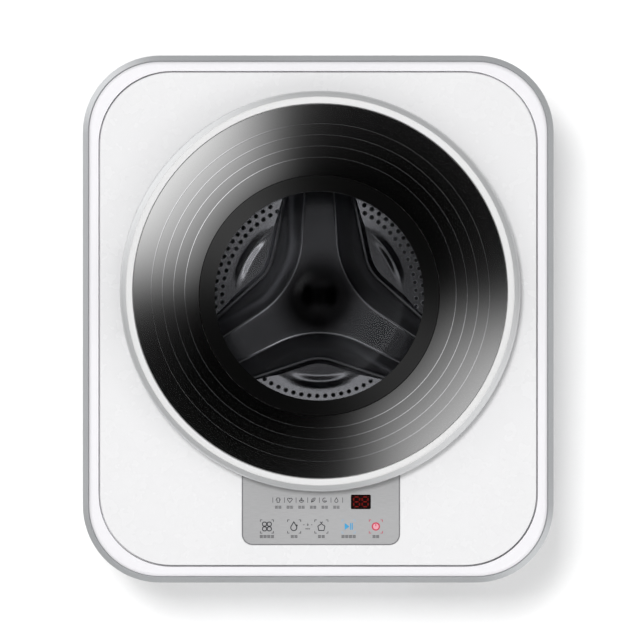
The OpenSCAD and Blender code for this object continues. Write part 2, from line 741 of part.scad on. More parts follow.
module drum_shell() color("darkgray") upright() at_drum() difference() {
    rotate_extrude() polygon([[drum_r, drum_back_d - 6], [drum_r, drum_front_d - 10],
        [drum_r - 10, drum_front_d], [mouth_r + 8, drum_front_d], [mouth_r, drum_front_d - 6],
        [mouth_r + drum_t, drum_front_d - 7], [mouth_r + 8.6, drum_front_d - drum_t],
        [drum_r - 10.6, drum_front_d - drum_t], [drum_r - drum_t, drum_front_d - 10.6],
        [drum_r - drum_t, drum_back_d - 6]]);
    for (a = star_angles, s = [-4:4], row = [0:4])
        rotate(a + 60 + (s + (row % 2) / 2) * 9) translate([0, 0, drum_back_d + 22 + row * 20])
            rotate([0, 90, 0]) translate([0, 0, drum_r - 4]) cylinder(r = hole_r, h = 8, $fn = 24);
}

module drum_lifters() color("lightgray") upright() at_drum(drum_back_d + star_h + 6)
    for (a = star_angles) rotate(a) intersection() {
        linear_extrude(drum_depth - star_h - 22) polygon(concat(
            [[drum_r, -24]], arc([drum_r - 26, 0], 9, 270, 90), [[drum_r, 24]]));
        rotate(-a) cylinder(r = drum_r - drum_t - 0.1, h = drum_depth);
    }

module drum_spider_shaft() color("silver") upright() {
    at_drum(spider_d) difference() {
        union() {
            cylinder(r = 30, h = drum_back_d + star_h - drum_t - spider_d - 4);
            for (a = star_angles) rotate(a) {
                linear_extrude(spider_h) polygon([[0, -18], [spider_bolt_at, -12],
                    [spider_bolt_at, 12], [0, 18]]);
                translate([spider_bolt_at, 0, 0])
                    cylinder(r = 12, h = drum_back_d + star_h - drum_t - spider_d);
            }
        }
        for (a = star_angles) rotate(a) for (s = [-1, 1])
            block(94, s * 11, spider_h - 6, 100, 9, 20);
    }
    for (a = star_angles) at_drum(drum_back_d + star_h) rotate(a) translate([spider_bolt_at, 0, 0])
        cylinder(r = 7, h = 4);
    for (a = star_angles) at_drum(drum_back_d + star_h - 3) rotate(a) translate([spider_bolt_at, 0, 0])
        cylinder(r = 3.9, h = 4);
    at_drum() rotate_extrude() polygon([[0, pulley_d + 1], [10, pulley_d + 1], [10, hub_d - 1],
        [shaft_r, hub_d - 1], [shaft_r, rear_bearing_d + rear_bearing_w + 1],
        [front_shaft_r, rear_bearing_d + rear_bearing_w + 3], [front_shaft_r, seal_d - 1],
        [hub_shaft_r, seal_d - 1], [hub_shaft_r, spider_d + 1], [0, spider_d + 1]]);
}

module drum_pulley() color("silver") upright() at_drum(pulley_d) {
    rotate_extrude() difference() {
        translate([pulley_r - 8, 0]) square([8, pulley_w]);
        for (i = [0:4]) translate([pulley_r, pulley_w / 2 + (i - 2) * 2.3])
            polygon([[1, -0.9], [-1.4, 0], [1, 0.9]]);
    }
    difference() {
        union() {
            ring(22, 10, pulley_w + 3);
            translate([0, 0, 4]) ring(pulley_r - 7.9, 21, 3);
            for (a = [0:72:288]) rotate(a) block(66, 0, 2, 96, 5, 9);
        }
        for (a = [36:72:324]) rotate(a) translate([70, 0, -1]) cylinder(r = 22, h = 20);
    }
    translate([0, 0, -7]) cylinder(r = 9, h = 5.5, $fn = 6);
    translate([0, 0, -1.5]) cylinder(r = 13, h = 1.5 + eps);
}

// ---- Drive ----

// Straight run of the belt, on the side s of the line between the pulleys
module belt_side(s) rotate(s * belt_lean) {
    from = pulley_r + belt_gap;
    long = belt_run * sin(belt_lean);
    translate([from, (s > 0 ? -long : 0) - eps, 0]) cube([belt_t, long + 2 * eps, belt_w]);
}

// Round part of the belt, over the angle to each side of straight away
module belt_wrap(r, half) rotate(-half) rotate_extrude(angle = 2 * half)
    translate([r + belt_gap, 0]) square([belt_t, belt_w]);

module drive_belt() color("black") upright() at_drum(pulley_d + 1) rotate(belt_turn) {
    rotate(180) belt_wrap(pulley_r, 180 - belt_lean);
    translate([belt_run, 0, 0]) belt_wrap(motor_pulley_r, belt_lean);
    for (s = [-1, 1]) belt_side(s);
}

module motor_bracket() color("gray") upright() difference() {
    translate([0, 0, bracket_d]) {
        translate([motor_x, motor_z, 0]) cylinder(r = 38, h = bracket_t);
        at_drum() for (a = lug_angles) rotate(a) translate([lug_r, 0, 0]) cylinder(r = 12, h = bracket_t);
        translate([0, 0, 0.5]) linear_extrude(bracket_t - 1) polygon(concat(
            [for (a = lug_angles) [wash_x, wash_z] + (lug_r + 4) * [cos(a), sin(a)]],
            [[motor_x + 24, motor_z - 2], [motor_x - 2, motor_z + 24]]));
    }
    translate([motor_x, motor_z, 0]) {
        cylinder(r = 20, h = 90);
        for (a = [45:90:315]) rotate(a) translate([30, 0, 0]) cylinder(r = 2.6, h = 90);
    }
}

module motor_housing() color("dimgray") upright() translate([motor_x, motor_z, 0]) {
    wall = 3;
    difference() {
        rotate_extrude() difference() {
            polygon([[motor_shaft_r + pin_gap, motor_d - 3], [16, motor_d - 3], [16, motor_d],
                [motor_r - 4, motor_d], [motor_r, motor_d + 6], [motor_r, motor_d + motor_l - 6],
                [motor_r - 6, motor_d + motor_l], [motor_shaft_r + pin_gap, motor_d + motor_l]]);
            polygon([[motor_shaft_r + pin_gap + 4, motor_d + wall + 5], [motor_r - wall, motor_d + wall + 5],
                [motor_r - wall, motor_d + motor_l - 9], [0, motor_d + motor_l - 9],
                [0, motor_d + wall + 5]]);
        }
        for (a = [0:30:330]) rotate(a) block(30, 0, motor_d + motor_l - 12, 16, 4, 20);
    }
    for (a = [45:90:315]) rotate(a) translate([30, 0, bracket_d - 4]) {
        cylinder(r = 5, h = 4, $fn = 6);
        cylinder(r = 2.5, h = motor_d - bracket_d + 4 + eps);
    }
    translate([0, 0, bracket_d + bracket_t]) for (a = [45:90:315]) rotate(a)
        translate([30, 0, 0]) cylinder(r = 6, h = motor_d - bracket_d - bracket_t + eps);
}

module motor_stator() color("sienna") upright() translate([motor_x, motor_z, motor_d + 22])
    difference() {
        cylinder(r = motor_r - 3, h = motor_l - 44);
        translate([0, 0, -1]) cylinder(r = 28.5, h = motor_l);
        for (a = [0:30:330]) rotate(a) block(31, 0, -1, 8, 5, motor_l);
    }

module motor_rotor() color("silver") upright() translate([motor_x, motor_z, 0]) {
    translate([0, 0, pulley_d - 3]) cylinder(r = motor_shaft_r, h = motor_d + motor_l - pulley_d + 2);
    translate([0, 0, motor_d + 24]) cylinder(r = 28, h = motor_l - 48);
    translate([0, 0, pulley_d + 1 - clear]) cylinder(r = motor_pulley_r, h = belt_w + 2 * clear);
    for (d = [pulley_d - 1 - clear, pulley_d + 1 + belt_w + clear])
        translate([0, 0, d]) cylinder(r = motor_pulley_r + 4, h = 2);
}

// ---- Water ----

module heater() color("silver") upright() translate([wash_x, heater_z, 0]) {
    tip = sump_d + sump_l - 12;
    pipe([[-16, 0, sump_d - 14], [-16, 0, tip], [16, 0, tip], [16, 0, sump_d - 14]], 4, 8);
    block(0, 0, sump_d - 5, 60, 16, 5);
    translate([0, 0, sump_d - 12]) cylinder(r = 3, h = 40);
}

module pressure_switch() color("white") upright() {
    translate([110, 175, frame_front]) cylinder(r = 20, h = 22);
    translate([110, 175, frame_front + 22 - eps]) cylinder(r = 13, h = 4);
    pipe([[wash_x + 60, heater_z, sump_d], [wash_x + 60, heater_z, 22], [145, heater_z, 22],
        [145, 175, 22], [129, 175, 22]], 3, 9);
}

// Open tray let into the shell, open to the side towards
module pocket(x, d, towards) translate([x, towards * (top_z - pocket_h / 2), d]) difference() {
    block(0, 0, -pocket_l / 2, pocket_w, pocket_h, pocket_l);
    block(0, towards * 2, -pocket_l / 2 + 2, pocket_w - 4, pocket_h, pocket_l - 4);
    for (s = [-1, 1]) translate([0, towards * (pocket_h / 2), 0])
        block(s * pocket_w / 2, 0, -pocket_l, 4 + 2 * clear, 2 * (shell_t + clear), 2 * pocket_l);
    for (s = [-1, 1]) translate([0, towards * (pocket_h / 2), s * pocket_l / 2])
        block(0, 0, -2 - clear, 2 * pocket_w, 2 * (shell_t + clear), 4 + 2 * clear);
}

module inlet_pocket() color("gainsboro") upright() difference() {
    pocket(inlet_x, inlet_d, 1);
    translate([inlet_x, top_z, inlet_d]) rotate([90, 0, 0]) cylinder(r = 10 + clear, h = 60);
}

module inlet_valve() color("white") upright() translate([inlet_x, 0, inlet_d]) {
    floor_z = top_z - pocket_h;
    difference() {
        union() {
            translate([0, floor_z - clear, 0]) rotate([90, 0, 0]) cylinder(r = 16, h = 10);
            block(0, floor_z - 25, -13, 26, 32, 26);
            translate([0, floor_z + 18, 0]) rotate([90, 0, 0]) cylinder(r = 10, h = 25);
            translate([0, floor_z + 32, 0]) rotate([90, 0, 0]) cylinder(r = inlet_r, h = 16);
            translate([0, floor_z + 18, 0]) rotate([90, 0, 0]) cylinder(r = inlet_r + 3, h = 3);
            translate([0, floor_z - 30, 13 - eps]) cylinder(r = 6.8, h = 16);
        }
        translate([0, floor_z + 40, 0]) rotate([90, 0, 0]) cylinder(r = 8, h = 40);
    }
    translate([0, floor_z - 52, -17]) rotate([-90, 0, 0]) cylinder(r = 10, h = 12);
}

module fill_hose() color("lightgray") upright() {
    low = top_z - pocket_h - 30;
    high = top_z - 26;
    hose([[inlet_x, low, inlet_d + 19], [inlet_x, low, inlet_d + 50], [inlet_x, high, inlet_d + 50],
        [det_x - 15, high, inlet_d + 50], [det_x - 15, high, det_d - box_l / 2 - clear]], 9, 2, 14);
}

module detergent_box() color("white") upright() {
    low = top_z - det_depth;
    difference() {
        block(det_x, top_z - det_depth / 2, det_d - box_l / 2, box_w, det_depth, box_l);
        block(det_x, top_z - det_depth / 2 + 3, det_d - box_l / 2 + 3, box_w - 6, det_depth, box_l - 6);
        translate([det_x - 15, top_z - 26, det_d - box_l]) cylinder(r = 5, h = box_l);
        translate([det_x - 15, low + 10, det_d]) rotate([90, 0, 0]) cylinder(r = 7.5, h = 30);
        translate([det_x - box_w, top_z - 2, det_d - box_l / 2 + 6]) rotate([0, 90, 0])
            cylinder(r = lid_pin_r + pin_gap, h = 2 * box_w);
        translate([det_x, top_z, det_d + box_l / 2]) rotate([90, 0, 0])
            cylinder(r = 9, h = 5);
    }
    translate([det_x - 15, low, det_d]) rotate([90, 0, 0]) ring(10, 7.5, 8);
}

module detergent_tray() color("lightblue") upright() {
    long = box_l - 6 - 2 * clear;
    wide = box_w - 6 - 2 * clear;
    tall = det_depth - 26;
    base = top_z - det_depth + 3 + clear;
    difference() {
        block(det_x, base + tall / 2, det_d - long / 2, wide, tall, long);
        for (s = [-1, 1]) block(det_x + s * wide / 4, base + tall / 2 + 2, det_d - long / 2 + 2,
            wide / 2 - 3, tall, long - 4);
        translate([det_x - 15, base + tall, det_d - box_l]) cylinder(r = 8, h = box_l / 2 + 6);
    }
}

module detergent_lid() color("white") upright() {
    wide = box_w - 6 - 2 * lid_gap;
    axis_d = det_d - box_l / 2 + 6;
    axis_z = top_z - 2;
    block(det_x, top_z - lid_t / 2, axis_d, wide, lid_t, box_l - 9 - lid_gap);
    translate([det_x - wide / 2, axis_z, axis_d]) rotate([0, 90, 0]) cylinder(r = 2, h = wide);
    translate([det_x - wide / 2 - 3, axis_z, axis_d]) rotate([0, 90, 0])
        cylinder(r = lid_pin_r, h = wide + 6);
}

module dispenser_hose() color("gray") upright() {
    low = wash_z + sqrt(pow(tub_out, 2) - pow(det_x - 15 - wash_x, 2)) + 12;
    high = top_z - det_depth - 1;
    translate([det_x - 15, high, det_d]) rotate([90, 0, 0]) rotate_extrude() polygon(concat(
        [[10.15, 0], [12.6, 0]],
        [for (i = [1:5]) [i % 2 == 0 ? 12.6 : 14.4, i * (high - low) / 6]],
        [[12.6, high - low], [10.15, high - low]]));
}

module pump_housing() color("white") upright() {
    chamber_z = -shell_h / 2;
    difference() {
        union() {
            translate([pump_x, chamber_z, pump_d]) rotate([-90, 0, 0])
                cylinder(r = filter_r + 4, h = chamber_h);
            translate([pump_x, volute_z, volute_d]) cylinder(r = volute_r, h = pump_d - volute_d);
            translate([pump_x - filter_r - 16, volute_z, pump_d]) rotate([0, 90, 0])
                cylinder(r = 12, h = 20);
            translate([pump_x, volute_z, volute_d + 10]) rotate([-90, 0, 0]) cylinder(r = 8, h = 40);
        }
        translate([pump_x, chamber_z - 1, pump_d]) rotate([-90, 0, 0])
            cylinder(r = filter_r + pin_gap, h = 15);
        translate([pump_x, chamber_z + 10, pump_d]) rotate([-90, 0, 0])
            cylinder(r = filter_r - 3, h = chamber_h - 13);
        translate([pump_x, volute_z, volute_d + 3]) cylinder(r = volute_r - 3, h = 18);
        translate([pump_x, volute_z, volute_d + 3]) cylinder(r = 11, h = 40);
        translate([pump_x, volute_z, volute_d - 1]) cylinder(r = 2.5 + pin_gap, h = 10);
        translate([pump_x - filter_r - 20, volute_z, pump_d]) rotate([0, 90, 0]) cylinder(r = 9.5, h = 30);
        translate([pump_x, volute_z, volute_d + 10]) rotate([-90, 0, 0]) cylinder(r = 6, h = 50);
    }
}

module drain_filter() color("gray") upright() {
    base = -shell_h / 2;
    difference() {
        translate([pump_x, base, pump_d]) rotate([-90, 0, 0]) cylinder(r = filter_r, h = 12);
        for (s = [-1, 1]) block(pump_x + s * 11, base, pump_d - 20, 12, 16, 40);
    }
    translate([pump_x, base + 12 - eps, pump_d]) rotate([-90, 0, 0]) difference() {
        ring(filter_r - 5, filter_r - 7.5, 34);
        for (a = [0:45:315]) rotate(a) block(filter_r, 0, 4, 20, 8, 26);
    }
}

module pump_impeller() color("dimgray") upright() translate([pump_x, volute_z, 0]) {
    translate([0, 0, volute_d - 20]) cylinder(r = 2.5, h = 36);
    translate([0, 0, volute_d + 5]) cylinder(r = 6, h = 11);
    for (a = [0:60:300]) rotate(a) block(10, 0, volute_d + 5, 15, 2, 11);
}

module pump_motor() color("dimgray") upright() translate([pump_x, volute_z, volute_d - 52])
    difference() {
        union() {
            cylinder(r = 20, h = 46);
            translate([0, 0, 46 - eps]) cylinder(r = volute_r - 1, h = 6);
            block(0, 0, 10, 46, 30, 26);
        }
        translate([0, 0, 30]) cylinder(r = 2.5 + pin_gap, h = 40);
    }

module sump_hose() color("gray") upright() {
    hose([[sump_x, sump_z - 1, 110], [sump_x, volute_z, 110], [sump_x, volute_z, pump_d],
        [pump_x - filter_r - 6, volute_z, pump_d]], 14.5, 2.3, 15);
}

module drain_hose() color("gray") upright() {
    high = volute_z + 62;
    hose([[pump_x, volute_z + 30, volute_d + 10], [pump_x, high, volute_d + 10],
        [pump_x, high, drain_d], [pump_x, -top_z + pocket_h + 6, drain_d]], 10.3, 2.15, 16);
}

module drain_pocket() color("gainsboro") upright() {
    difference() {
        pocket(drain_pocket_x, drain_d, -1);
        translate([pump_x, -top_z, drain_d]) rotate([-90, 0, 0]) cylinder(r = 5.5, h = 60);
    }
    translate([pump_x, -top_z + pocket_h - eps, drain_d]) rotate([-90, 0, 0]) ring(8, 5.5, 20);
    translate([pump_x, -top_z + pocket_h - 2 + eps, drain_d]) rotate([90, 0, 0]) ring(outlet_r, 5.5, 30);
    translate([gland_x, -top_z + pocket_h - 2 + eps, drain_d]) rotate([90, 0, 0]) {
        cylinder(r = 9, h = 5, $fn = 6);
        rotate_extrude() polygon([[3.5, 0], [7, 0], [7, 6], [5, 22], [3.5, 22]]);
    }
}

module power_box() color("gainsboro") upright() translate([supply_x, supply_z, frame_front]) difference() {
    rounded_plate(90, 62, 6, 58);
    for (x = [-36:8:36]) block(x, 0, 50, 3, 50, 20);
}

// ---- Door ----

// Slot behind the ring where the hinge works
module hinge_cut() {
    deep = 5 + hinge_d + knuckle_r + 1 - door_back;
    block(hinge_x + 8, door_z, door_back - 5, 52, 2 * hinge_half + 4, deep);
}

// Finger recess behind the door's free edge
module grip_cut() at_door(door_back - 1) intersection() {
    translate([grip_r, -grip_half, 0]) cube([60, 2 * grip_half, grip_depth + 1]);
    cylinder(r = door_r + 5, h = grip_depth + 1);
}

module door_ring() color("silver") upright() difference() {
    at_door(door_back) rotate_extrude() {
        t = door_t;
        polygon(concat(
            [[door_r - 3.5, 0], [door_r - 1.5, 0], [door_r, 1.5]],
            arc([door_r - 5, t - 5.5], 5, 0, 80),
            [[disc_r + 7.4, t], [disc_r + 6.8, t - 1.4], [disc_r + 0.6, t - 3], [disc_r, t - 4],
             [disc_r, t - 12], [disc_r + 2.5, t - 12], [disc_r + 2.5, t - 5.5],
             [door_r - 5.5, t - 5.5], [door_r - 3.5, t - 8]]));
    }
    hinge_cut();
    grip_cut();
}

module door_disc() color([0.1, 0.1, 0.11]) upright() difference() {
    at_door(door_back) {
        rotate_extrude() polygon([[rim_r - 12, door_t - 11.5], [disc_r - 2, door_t - 7.5],
            [disc_r - 2, door_t - 12], [disc_r - clear, door_t - 12], [disc_r - clear, door_t - 5],
            [disc_r - 1.3, door_t - 4.2], [rim_r - 12, door_t - 8.5]]);
        for (a = [22.5:45:337.5]) rotate(a) translate([200, 0, 4 - clear])
            cylinder(r = 5, h = door_t - 11);
    }
    at_drum() cylinder(r = rim_r + clear, h = 400);
    for (r = [191, 178.5, 165.8, 153.2]) at_door(door_back + door_t - 9.6) translate([0.4, -1.6, 0])
        rotate_extrude() polygon([[r - 0.8, 8], [r, 0.2 + (r - rim_r) * 0.055], [r + 0.8, 8]]);
}

module window_rim() color([0.2, 0.2, 0.21]) upright() at_drum() rotate_extrude() {
    top = door_back + door_t - 8.4;
    polygon([[window_r, flange_back + 3.4], [window_r, flange_back + 5.5], [window_r + 1, flange_back + 6],
        [rim_r - 2, top], [rim_r, top - 0.6], [rim_r, top - 3], [rim_r - 2.5, top - 4.5],
        [window_r + 7, flange_back + 3.4]]);
}

module door_glass() color([0.7, 0.75, 0.8, 0.35]) upright() at_drum() {
    intersection() {
        translate([0, 0, flange_back - bowl_depth + bowl_sphere]) difference() {
            sphere(r = bowl_sphere);
            sphere(r = bowl_sphere - glass_t);
        }
        translate([0, 0, flange_back - bowl_depth - 1]) cylinder(r = bowl_base_r + 5, h = bowl_depth + 4);
    }
    translate([0, 0, flange_back]) ring(rim_r - 5, bowl_base_r - 1, 3);
}

module door_inner_frame() color("whitesmoke") upright() {
    hang(door_z + 10, 20) translate([hook_x, hook_d]) circle(hook_pin_r);
    difference() {
        union() {
            at_door(door_back + 0.2) cylinder(r = door_r - 4.2, h = 2.8);
            at_drum(door_back + 1) ring(rim_r - 1, rim_r - 4, door_t - 16);
            at_door(door_back + 1) difference() {
                ring(206, 203, door_t - 14);
                for (a = [22.5:45:337.5]) rotate(a) translate([200, 0, -1]) cylinder(r = 6, h = 40);
            }
            block(hinge_x + 38, door_z, door_back + 0.2, 10, 2 * hinge_half + 16, 18);
            for (s = [-1, 1]) block(hook_x, door_z + s * 11.5, door_back + 0.2, 10, 4, 14);
        }
        at_drum() cylinder(r = frame_hole_r, h = 400);
        for (a = [22.5:45:337.5]) at_door(door_back - 1) rotate(a) translate([200, 0, 0])
            cylinder(r = 3.2, h = 8);
        block(hinge_x + 2, door_z, door_back - 5, 62, 2 * hinge_half + 4, 60);
        block(hook_x + 1, door_z, door_back - 5, 23, 18, 60);
        grip_cut();
        at_door(0) difference() {
            cylinder(r = door_r + 20, h = 400);
            translate([0, 0, -1]) cylinder(r = door_r - 4.2, h = 402);
        }
    }
}

module door_hinge_arm() color("silver") upright() {
    half = ear_at - 0.5;
    hang(door_z + half, 2 * half) difference() {
        union() {
            translate([hinge_x, hinge_d]) circle(knuckle_r);
            translate([hinge_x, hinge_d - 3]) square([33, 8]);
        }
        translate([hinge_x, hinge_d]) circle(hinge_pin_r + pin_gap);
    }
}

module door_hook() color("silver") upright() hang(door_z + 5, 10) difference() {
    polygon([[hook_x - 4.5, hook_d + 4], [hook_x + 4.5, hook_d + 4], [hook_x + 4.5, hook_d - 6],
        [hook_x + 3.5, box_back + 18], [hook_x + 8, box_back + 14], [hook_x + 3.5, box_back + 8],
        [hook_x - 3.5, box_back + 8], [hook_x - 4.5, hook_d - 6]]);
    translate([hook_x, hook_d]) circle(hook_pin_r + pin_gap);
}

wall_pads();
back_frame();
outer_shell();
shell_screws();
edge_trim();
front_bezel();
front_panel();
control_fascia();
display_lens();
display_segments();
control_board();
board_box();
door_hinge_bracket();
door_hinge_pin();
door_lock();
door_gasket();
gasket_clamps();
tub_front();
tub_rear();
tub_screws();
tub_isolators();
counterweight();
bearing_outer_races();
bearing_inner_races();
bearing_balls();
shaft_seal();
drive_belt();
motor_bracket();
motor_housing();
motor_stator();
heater();
pressure_switch();
inlet_pocket();
inlet_valve();
fill_hose();
detergent_box();
detergent_tray();
dispenser_hose();
pump_housing();
pump_motor();
sump_hose();
drain_hose();
drain_pocket();
power_box();
door_ring();
door_disc();
window_rim();
door_glass();
door_inner_frame();
door_hinge_arm();
door_hook();
drum_shell();
drum_back();
drum_lifters();
drum_spider_shaft();
drum_pulley();
motor_rotor();
pump_impeller();
drain_filter();
detergent_lid();
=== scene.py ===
"""Dresses the wall mounted washing machine: finishes for every piece, the printed marks of the
fascia, wires and hole rims too fine for the frame, the drum's pressed back and a plain studio.

Lengths are in millimetres until MM turns them into metres; those of the studio are in metres.
X is to the right, Y into the wall and Z up, with the origin between the four wall bolts."""
import math
from collections import namedtuple

import bpy
import bmesh
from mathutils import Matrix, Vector


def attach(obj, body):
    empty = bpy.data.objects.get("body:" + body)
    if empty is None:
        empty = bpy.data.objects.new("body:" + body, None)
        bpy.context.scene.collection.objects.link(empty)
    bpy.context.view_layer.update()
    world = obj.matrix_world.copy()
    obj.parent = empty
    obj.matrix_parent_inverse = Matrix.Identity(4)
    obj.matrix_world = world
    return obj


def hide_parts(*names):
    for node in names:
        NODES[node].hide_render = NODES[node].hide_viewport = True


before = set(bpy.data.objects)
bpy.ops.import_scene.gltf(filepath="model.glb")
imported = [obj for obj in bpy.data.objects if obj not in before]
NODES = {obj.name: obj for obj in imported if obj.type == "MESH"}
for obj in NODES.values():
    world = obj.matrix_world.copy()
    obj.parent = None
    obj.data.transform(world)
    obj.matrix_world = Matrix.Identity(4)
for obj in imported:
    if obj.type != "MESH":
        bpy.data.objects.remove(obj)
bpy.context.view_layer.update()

MM = 0.001
DOOR = (2.2, 31.0)            # centre of the door, right and up
WASH = (1.2, 26.0)            # axis of the drum
MOTOR = (-175, -205)          # axis of the motor

FASCIA = (3.1, -210.75)       # centre of the control fascia
FASCIA_W, FASCIA_H, FASCIA_R = 179.1, 91.5, 12.0
FASCIA_FRONT = 292.6          # its face, out from the wall
PRINT = (FASCIA_FRONT - 0.03, FASCIA_FRONT + 0.06)    # a printed mark's back and face
INK_DEPTH = (PRINT[1] - PRINT[0]) * MM
INK_Y = -(sum(PRINT) / 2) * MM
KEY_PITCH = 30.9
KEYS = [FASCIA[0] + 0.5 + i * KEY_PITCH for i in range(-2, 3)]
KEY_Z = FASCIA[1] - 24.8
KEY_LABEL_Z = KEY_Z - 11.4
PROGRAMME_PITCH = 13.2
PROGRAMMES = [FASCIA[0] - 48.5 + i * PROGRAMME_PITCH for i in range(6)]
PROGRAMME_Z = FASCIA[1] + 5.1

BEVEL_R = 219.1               # where the door ring's inner bevel begins
DISC_R = 123.8                # inner edge of the disc, a flat cone
DISC_FACE, DISC_SLOPE = 313.5, 0.0497
DISC_BLACK, DISC_GREY = 124.0, 212.0    # radii between which its print goes from black to grey
GROOVES = (DOOR[0] + 0.4, DOOR[1] - 1.6)    # centre of its four grooves
GROOVE_RADII = {"Outermost": 191.0, "Second": 178.5, "Third": 165.8, "Innermost": 153.2}
SPUN_LEAN = 0.33              # how far the door's spun faces lean outward

DRUM_BACK = 105.0             # outer face of the drum's back, out from the wall
DRUM_SHEET = 1.2
DRUM_R = 200.0
HOLLOWS = (150, 270, 30)      # directions of the three hollows between the star's arms
HOLE_R = 2.3
HOLE_ROWS = (115.2, 123.5)    # radii of the two rows of holes in each hollow
ROW_HOLES = 15
HOLE_STEP = 4.74              # degrees between the holes of a row
DISH_FROM, DISH_TO, DISH_SLOPE = 102.0, 128.0, 0.1
DISH_FADE = (135.0, 185.0)    # the dish levels out again between these radii
CRESCENT_R, CRESCENT_HALF, CRESCENT_ANGLE, CRESCENT_H = 98.5, 8.5, 27.0, 2.0
ARM_TURN = math.pi / 3        # from the middle of a hollow to the middle of an arm
STAR_R, STAR_H = 196.8, 22.0
TOP_EDGE = (42.0, 0.494, 111.0)      # tip, slope and rounding of a hollow's edge at the top
FOOT_EDGE = (72.0, 0.33, 49.0)       # and at its foot
TOP_END, FOOT_END = 163.3, 155.4     # how far across the edges run before the drum's wall


# ---- Sockets as numbers ----

Place = namedtuple("Place", "right up radius angle")


class Value:
    """An output socket. Arithmetic on it adds Math nodes to its tree."""

    def __init__(self, net, socket):
        self.net, self.socket = net, socket

    def __add__(self, other):
        return self.net.math("ADD", self, other)

    def __sub__(self, other):
        return self.net.math("SUBTRACT", self, other)

    def __mul__(self, other):
        return self.net.math("MULTIPLY", self, other)

    def __truediv__(self, other):
        return self.net.math("DIVIDE", self, other)

    def __radd__(self, other):
        return self.net.math("ADD", other, self)

    def __rsub__(self, other):
        return self.net.math("SUBTRACT", other, self)

    def __rmul__(self, other):
        return self.net.math("MULTIPLY", other, self)

    def __gt__(self, other):
        return self.net.math("GREATER_THAN", self, other)

    def __lt__(self, other):
        return self.net.math("LESS_THAN", self, other)


class Net:
    """A node tree under construction."""

    def __init__(self, tree):
        self.tree = tree
        tree.nodes.clear()

    def node(self, kind, settings=None, values=None, out=0):
        """Adds a node: its settings first, then the values or links of its sockets."""
        made = self.tree.nodes.new(kind)
        for key, value in (settings or {}).items():
            setattr(made, key, value)
        pairs = values.items() if isinstance(values, dict) else enumerate(values or ())
        for key, value in pairs:
            if isinstance(value, Value):
                self.tree.links.new(value.socket, made.inputs[key])
            elif value is not None:
                made.inputs[key].default_value = value
        return Value(self, made.outputs[out]) if len(made.outputs) else made

    def math(self, operation, *terms):
        return self.node("ShaderNodeMath", {"operation": operation}, terms)

    def vector(self, operation, *terms):
        return self.node("ShaderNodeVectorMath", {"operation": operation}, terms)

    def join(self, x=0.0, y=0.0, z=0.0):
        return self.node("ShaderNodeCombineXYZ", None, (x, y, z))

    def split(self, vector):
        made = self.node("ShaderNodeSeparateXYZ", None, (vector,)).socket.node
        return [Value(self, socket) for socket in made.outputs]

    def mix(self, share, a, b):
        """A colour between a and b."""
        return self.node("ShaderNodeMix", {"data_type": "RGBA"}, {0: share, 6: a, 7: b}, 2)

    def ease(self, value, low, high, start=0.0, end=1.0):
        """Start below low, end above high, and smooth between."""
        settings = {"interpolation_type": "SMOOTHSTEP"}
        return self.node("ShaderNodeMapRange", settings, (value, low, high, start, end))

    def band(self, value, low, full, fall, high):
        """1 between full and fall, easing to 0 at low and at high."""
        return self.ease(value, low, full) * self.ease(value, high, fall)

    def cloud(self, at, per_metre, detail=2.0, rough=0.5):
        """Noise from 0 to 1, with per_metre lumps to the metre."""
        return self.node("ShaderNodeTexNoise", None,
                         {"Vector": at, "Scale": per_metre, "Detail": detail, "Roughness": rough})

    def cells(self, at, per_metre, out="Distance"):
        return self.node("ShaderNodeTexVoronoi", None, {"Vector": at, "Scale": per_metre}, out)

    def stretched(self, at, sx, sy, sz):
        return self.vector("MULTIPLY", at, (sx, sy, sz))

    def polar(self, at, centre):
        """Place about a centre, seen from the front."""
        x, _, z = self.split(at)
        dx, dz = x - centre[0] * MM, z - centre[1] * MM
        radius = self.math("SQRT", dx * dx + dz * dz)
        return Place(dx, dz, radius, self.math("ARCTAN2", dz, dx))

    def bump(self, height, depth):
        """Bump of a height from 0 to 1 that stands for depth millimetres."""
        return self.node("ShaderNodeBump", None, {"Distance": depth * MM, "Height": height})

    def row(self, count, start=(0, 0, 0), step=(0, 0, 0)):
        """Points in a line, or all in one place without a step."""
        return self.node("GeometryNodeMeshLine", {"mode": "OFFSET"},
                         {"Count": count, "Start Location": start, "Offset": step})

    def block(self, x, y, z):
        """A box round the origin."""
        return self.node("GeometryNodeMeshCube", None, {"Size": self.join(x, y, z)})

    def circle(self, radius, steps):
        return self.node("GeometryNodeCurvePrimitiveCircle", None,
                         {"Resolution": steps, "Radius": radius})

    def rod(self, path, profile):
        return self.node("GeometryNodeCurveToMesh", None,
                         {"Curve": path, "Profile Curve": profile})

    def moved(self, geometry, shift=None, turn=None):
        return self.node("GeometryNodeTransform", None,
                         {"Geometry": geometry, "Translation": shift, "Rotation": turn})

    def joined(self, *parts):
        made = self.node("GeometryNodeJoinGeometry")
        for part in parts:
            self.tree.links.new(part.socket, made.socket.node.inputs[0])
        return made

    def repeated(self, points, piece, turn=None):
        return self.node("GeometryNodeInstanceOnPoints", None,
                         {"Points": points, "Instance": piece, "Rotation": turn})


def rgb(red, green=None, blue=None):
    """A colour from screen values of 0 to 255; one value makes a grey."""
    if green is None:
        green = blue = red
    linear = [c / 255 / 12.92 if c <= 10 else ((c / 255 + 0.055) / 1.055) ** 2.4
              for c in (red, green, blue)]
    return (*linear, 1.0)


# ---- Finishes ----

FINISHES = {}
TURNING_PITCH = 0.35          # between the marks of the lathe
LAMINATION = 0.9              # thickness of the stator's sheets


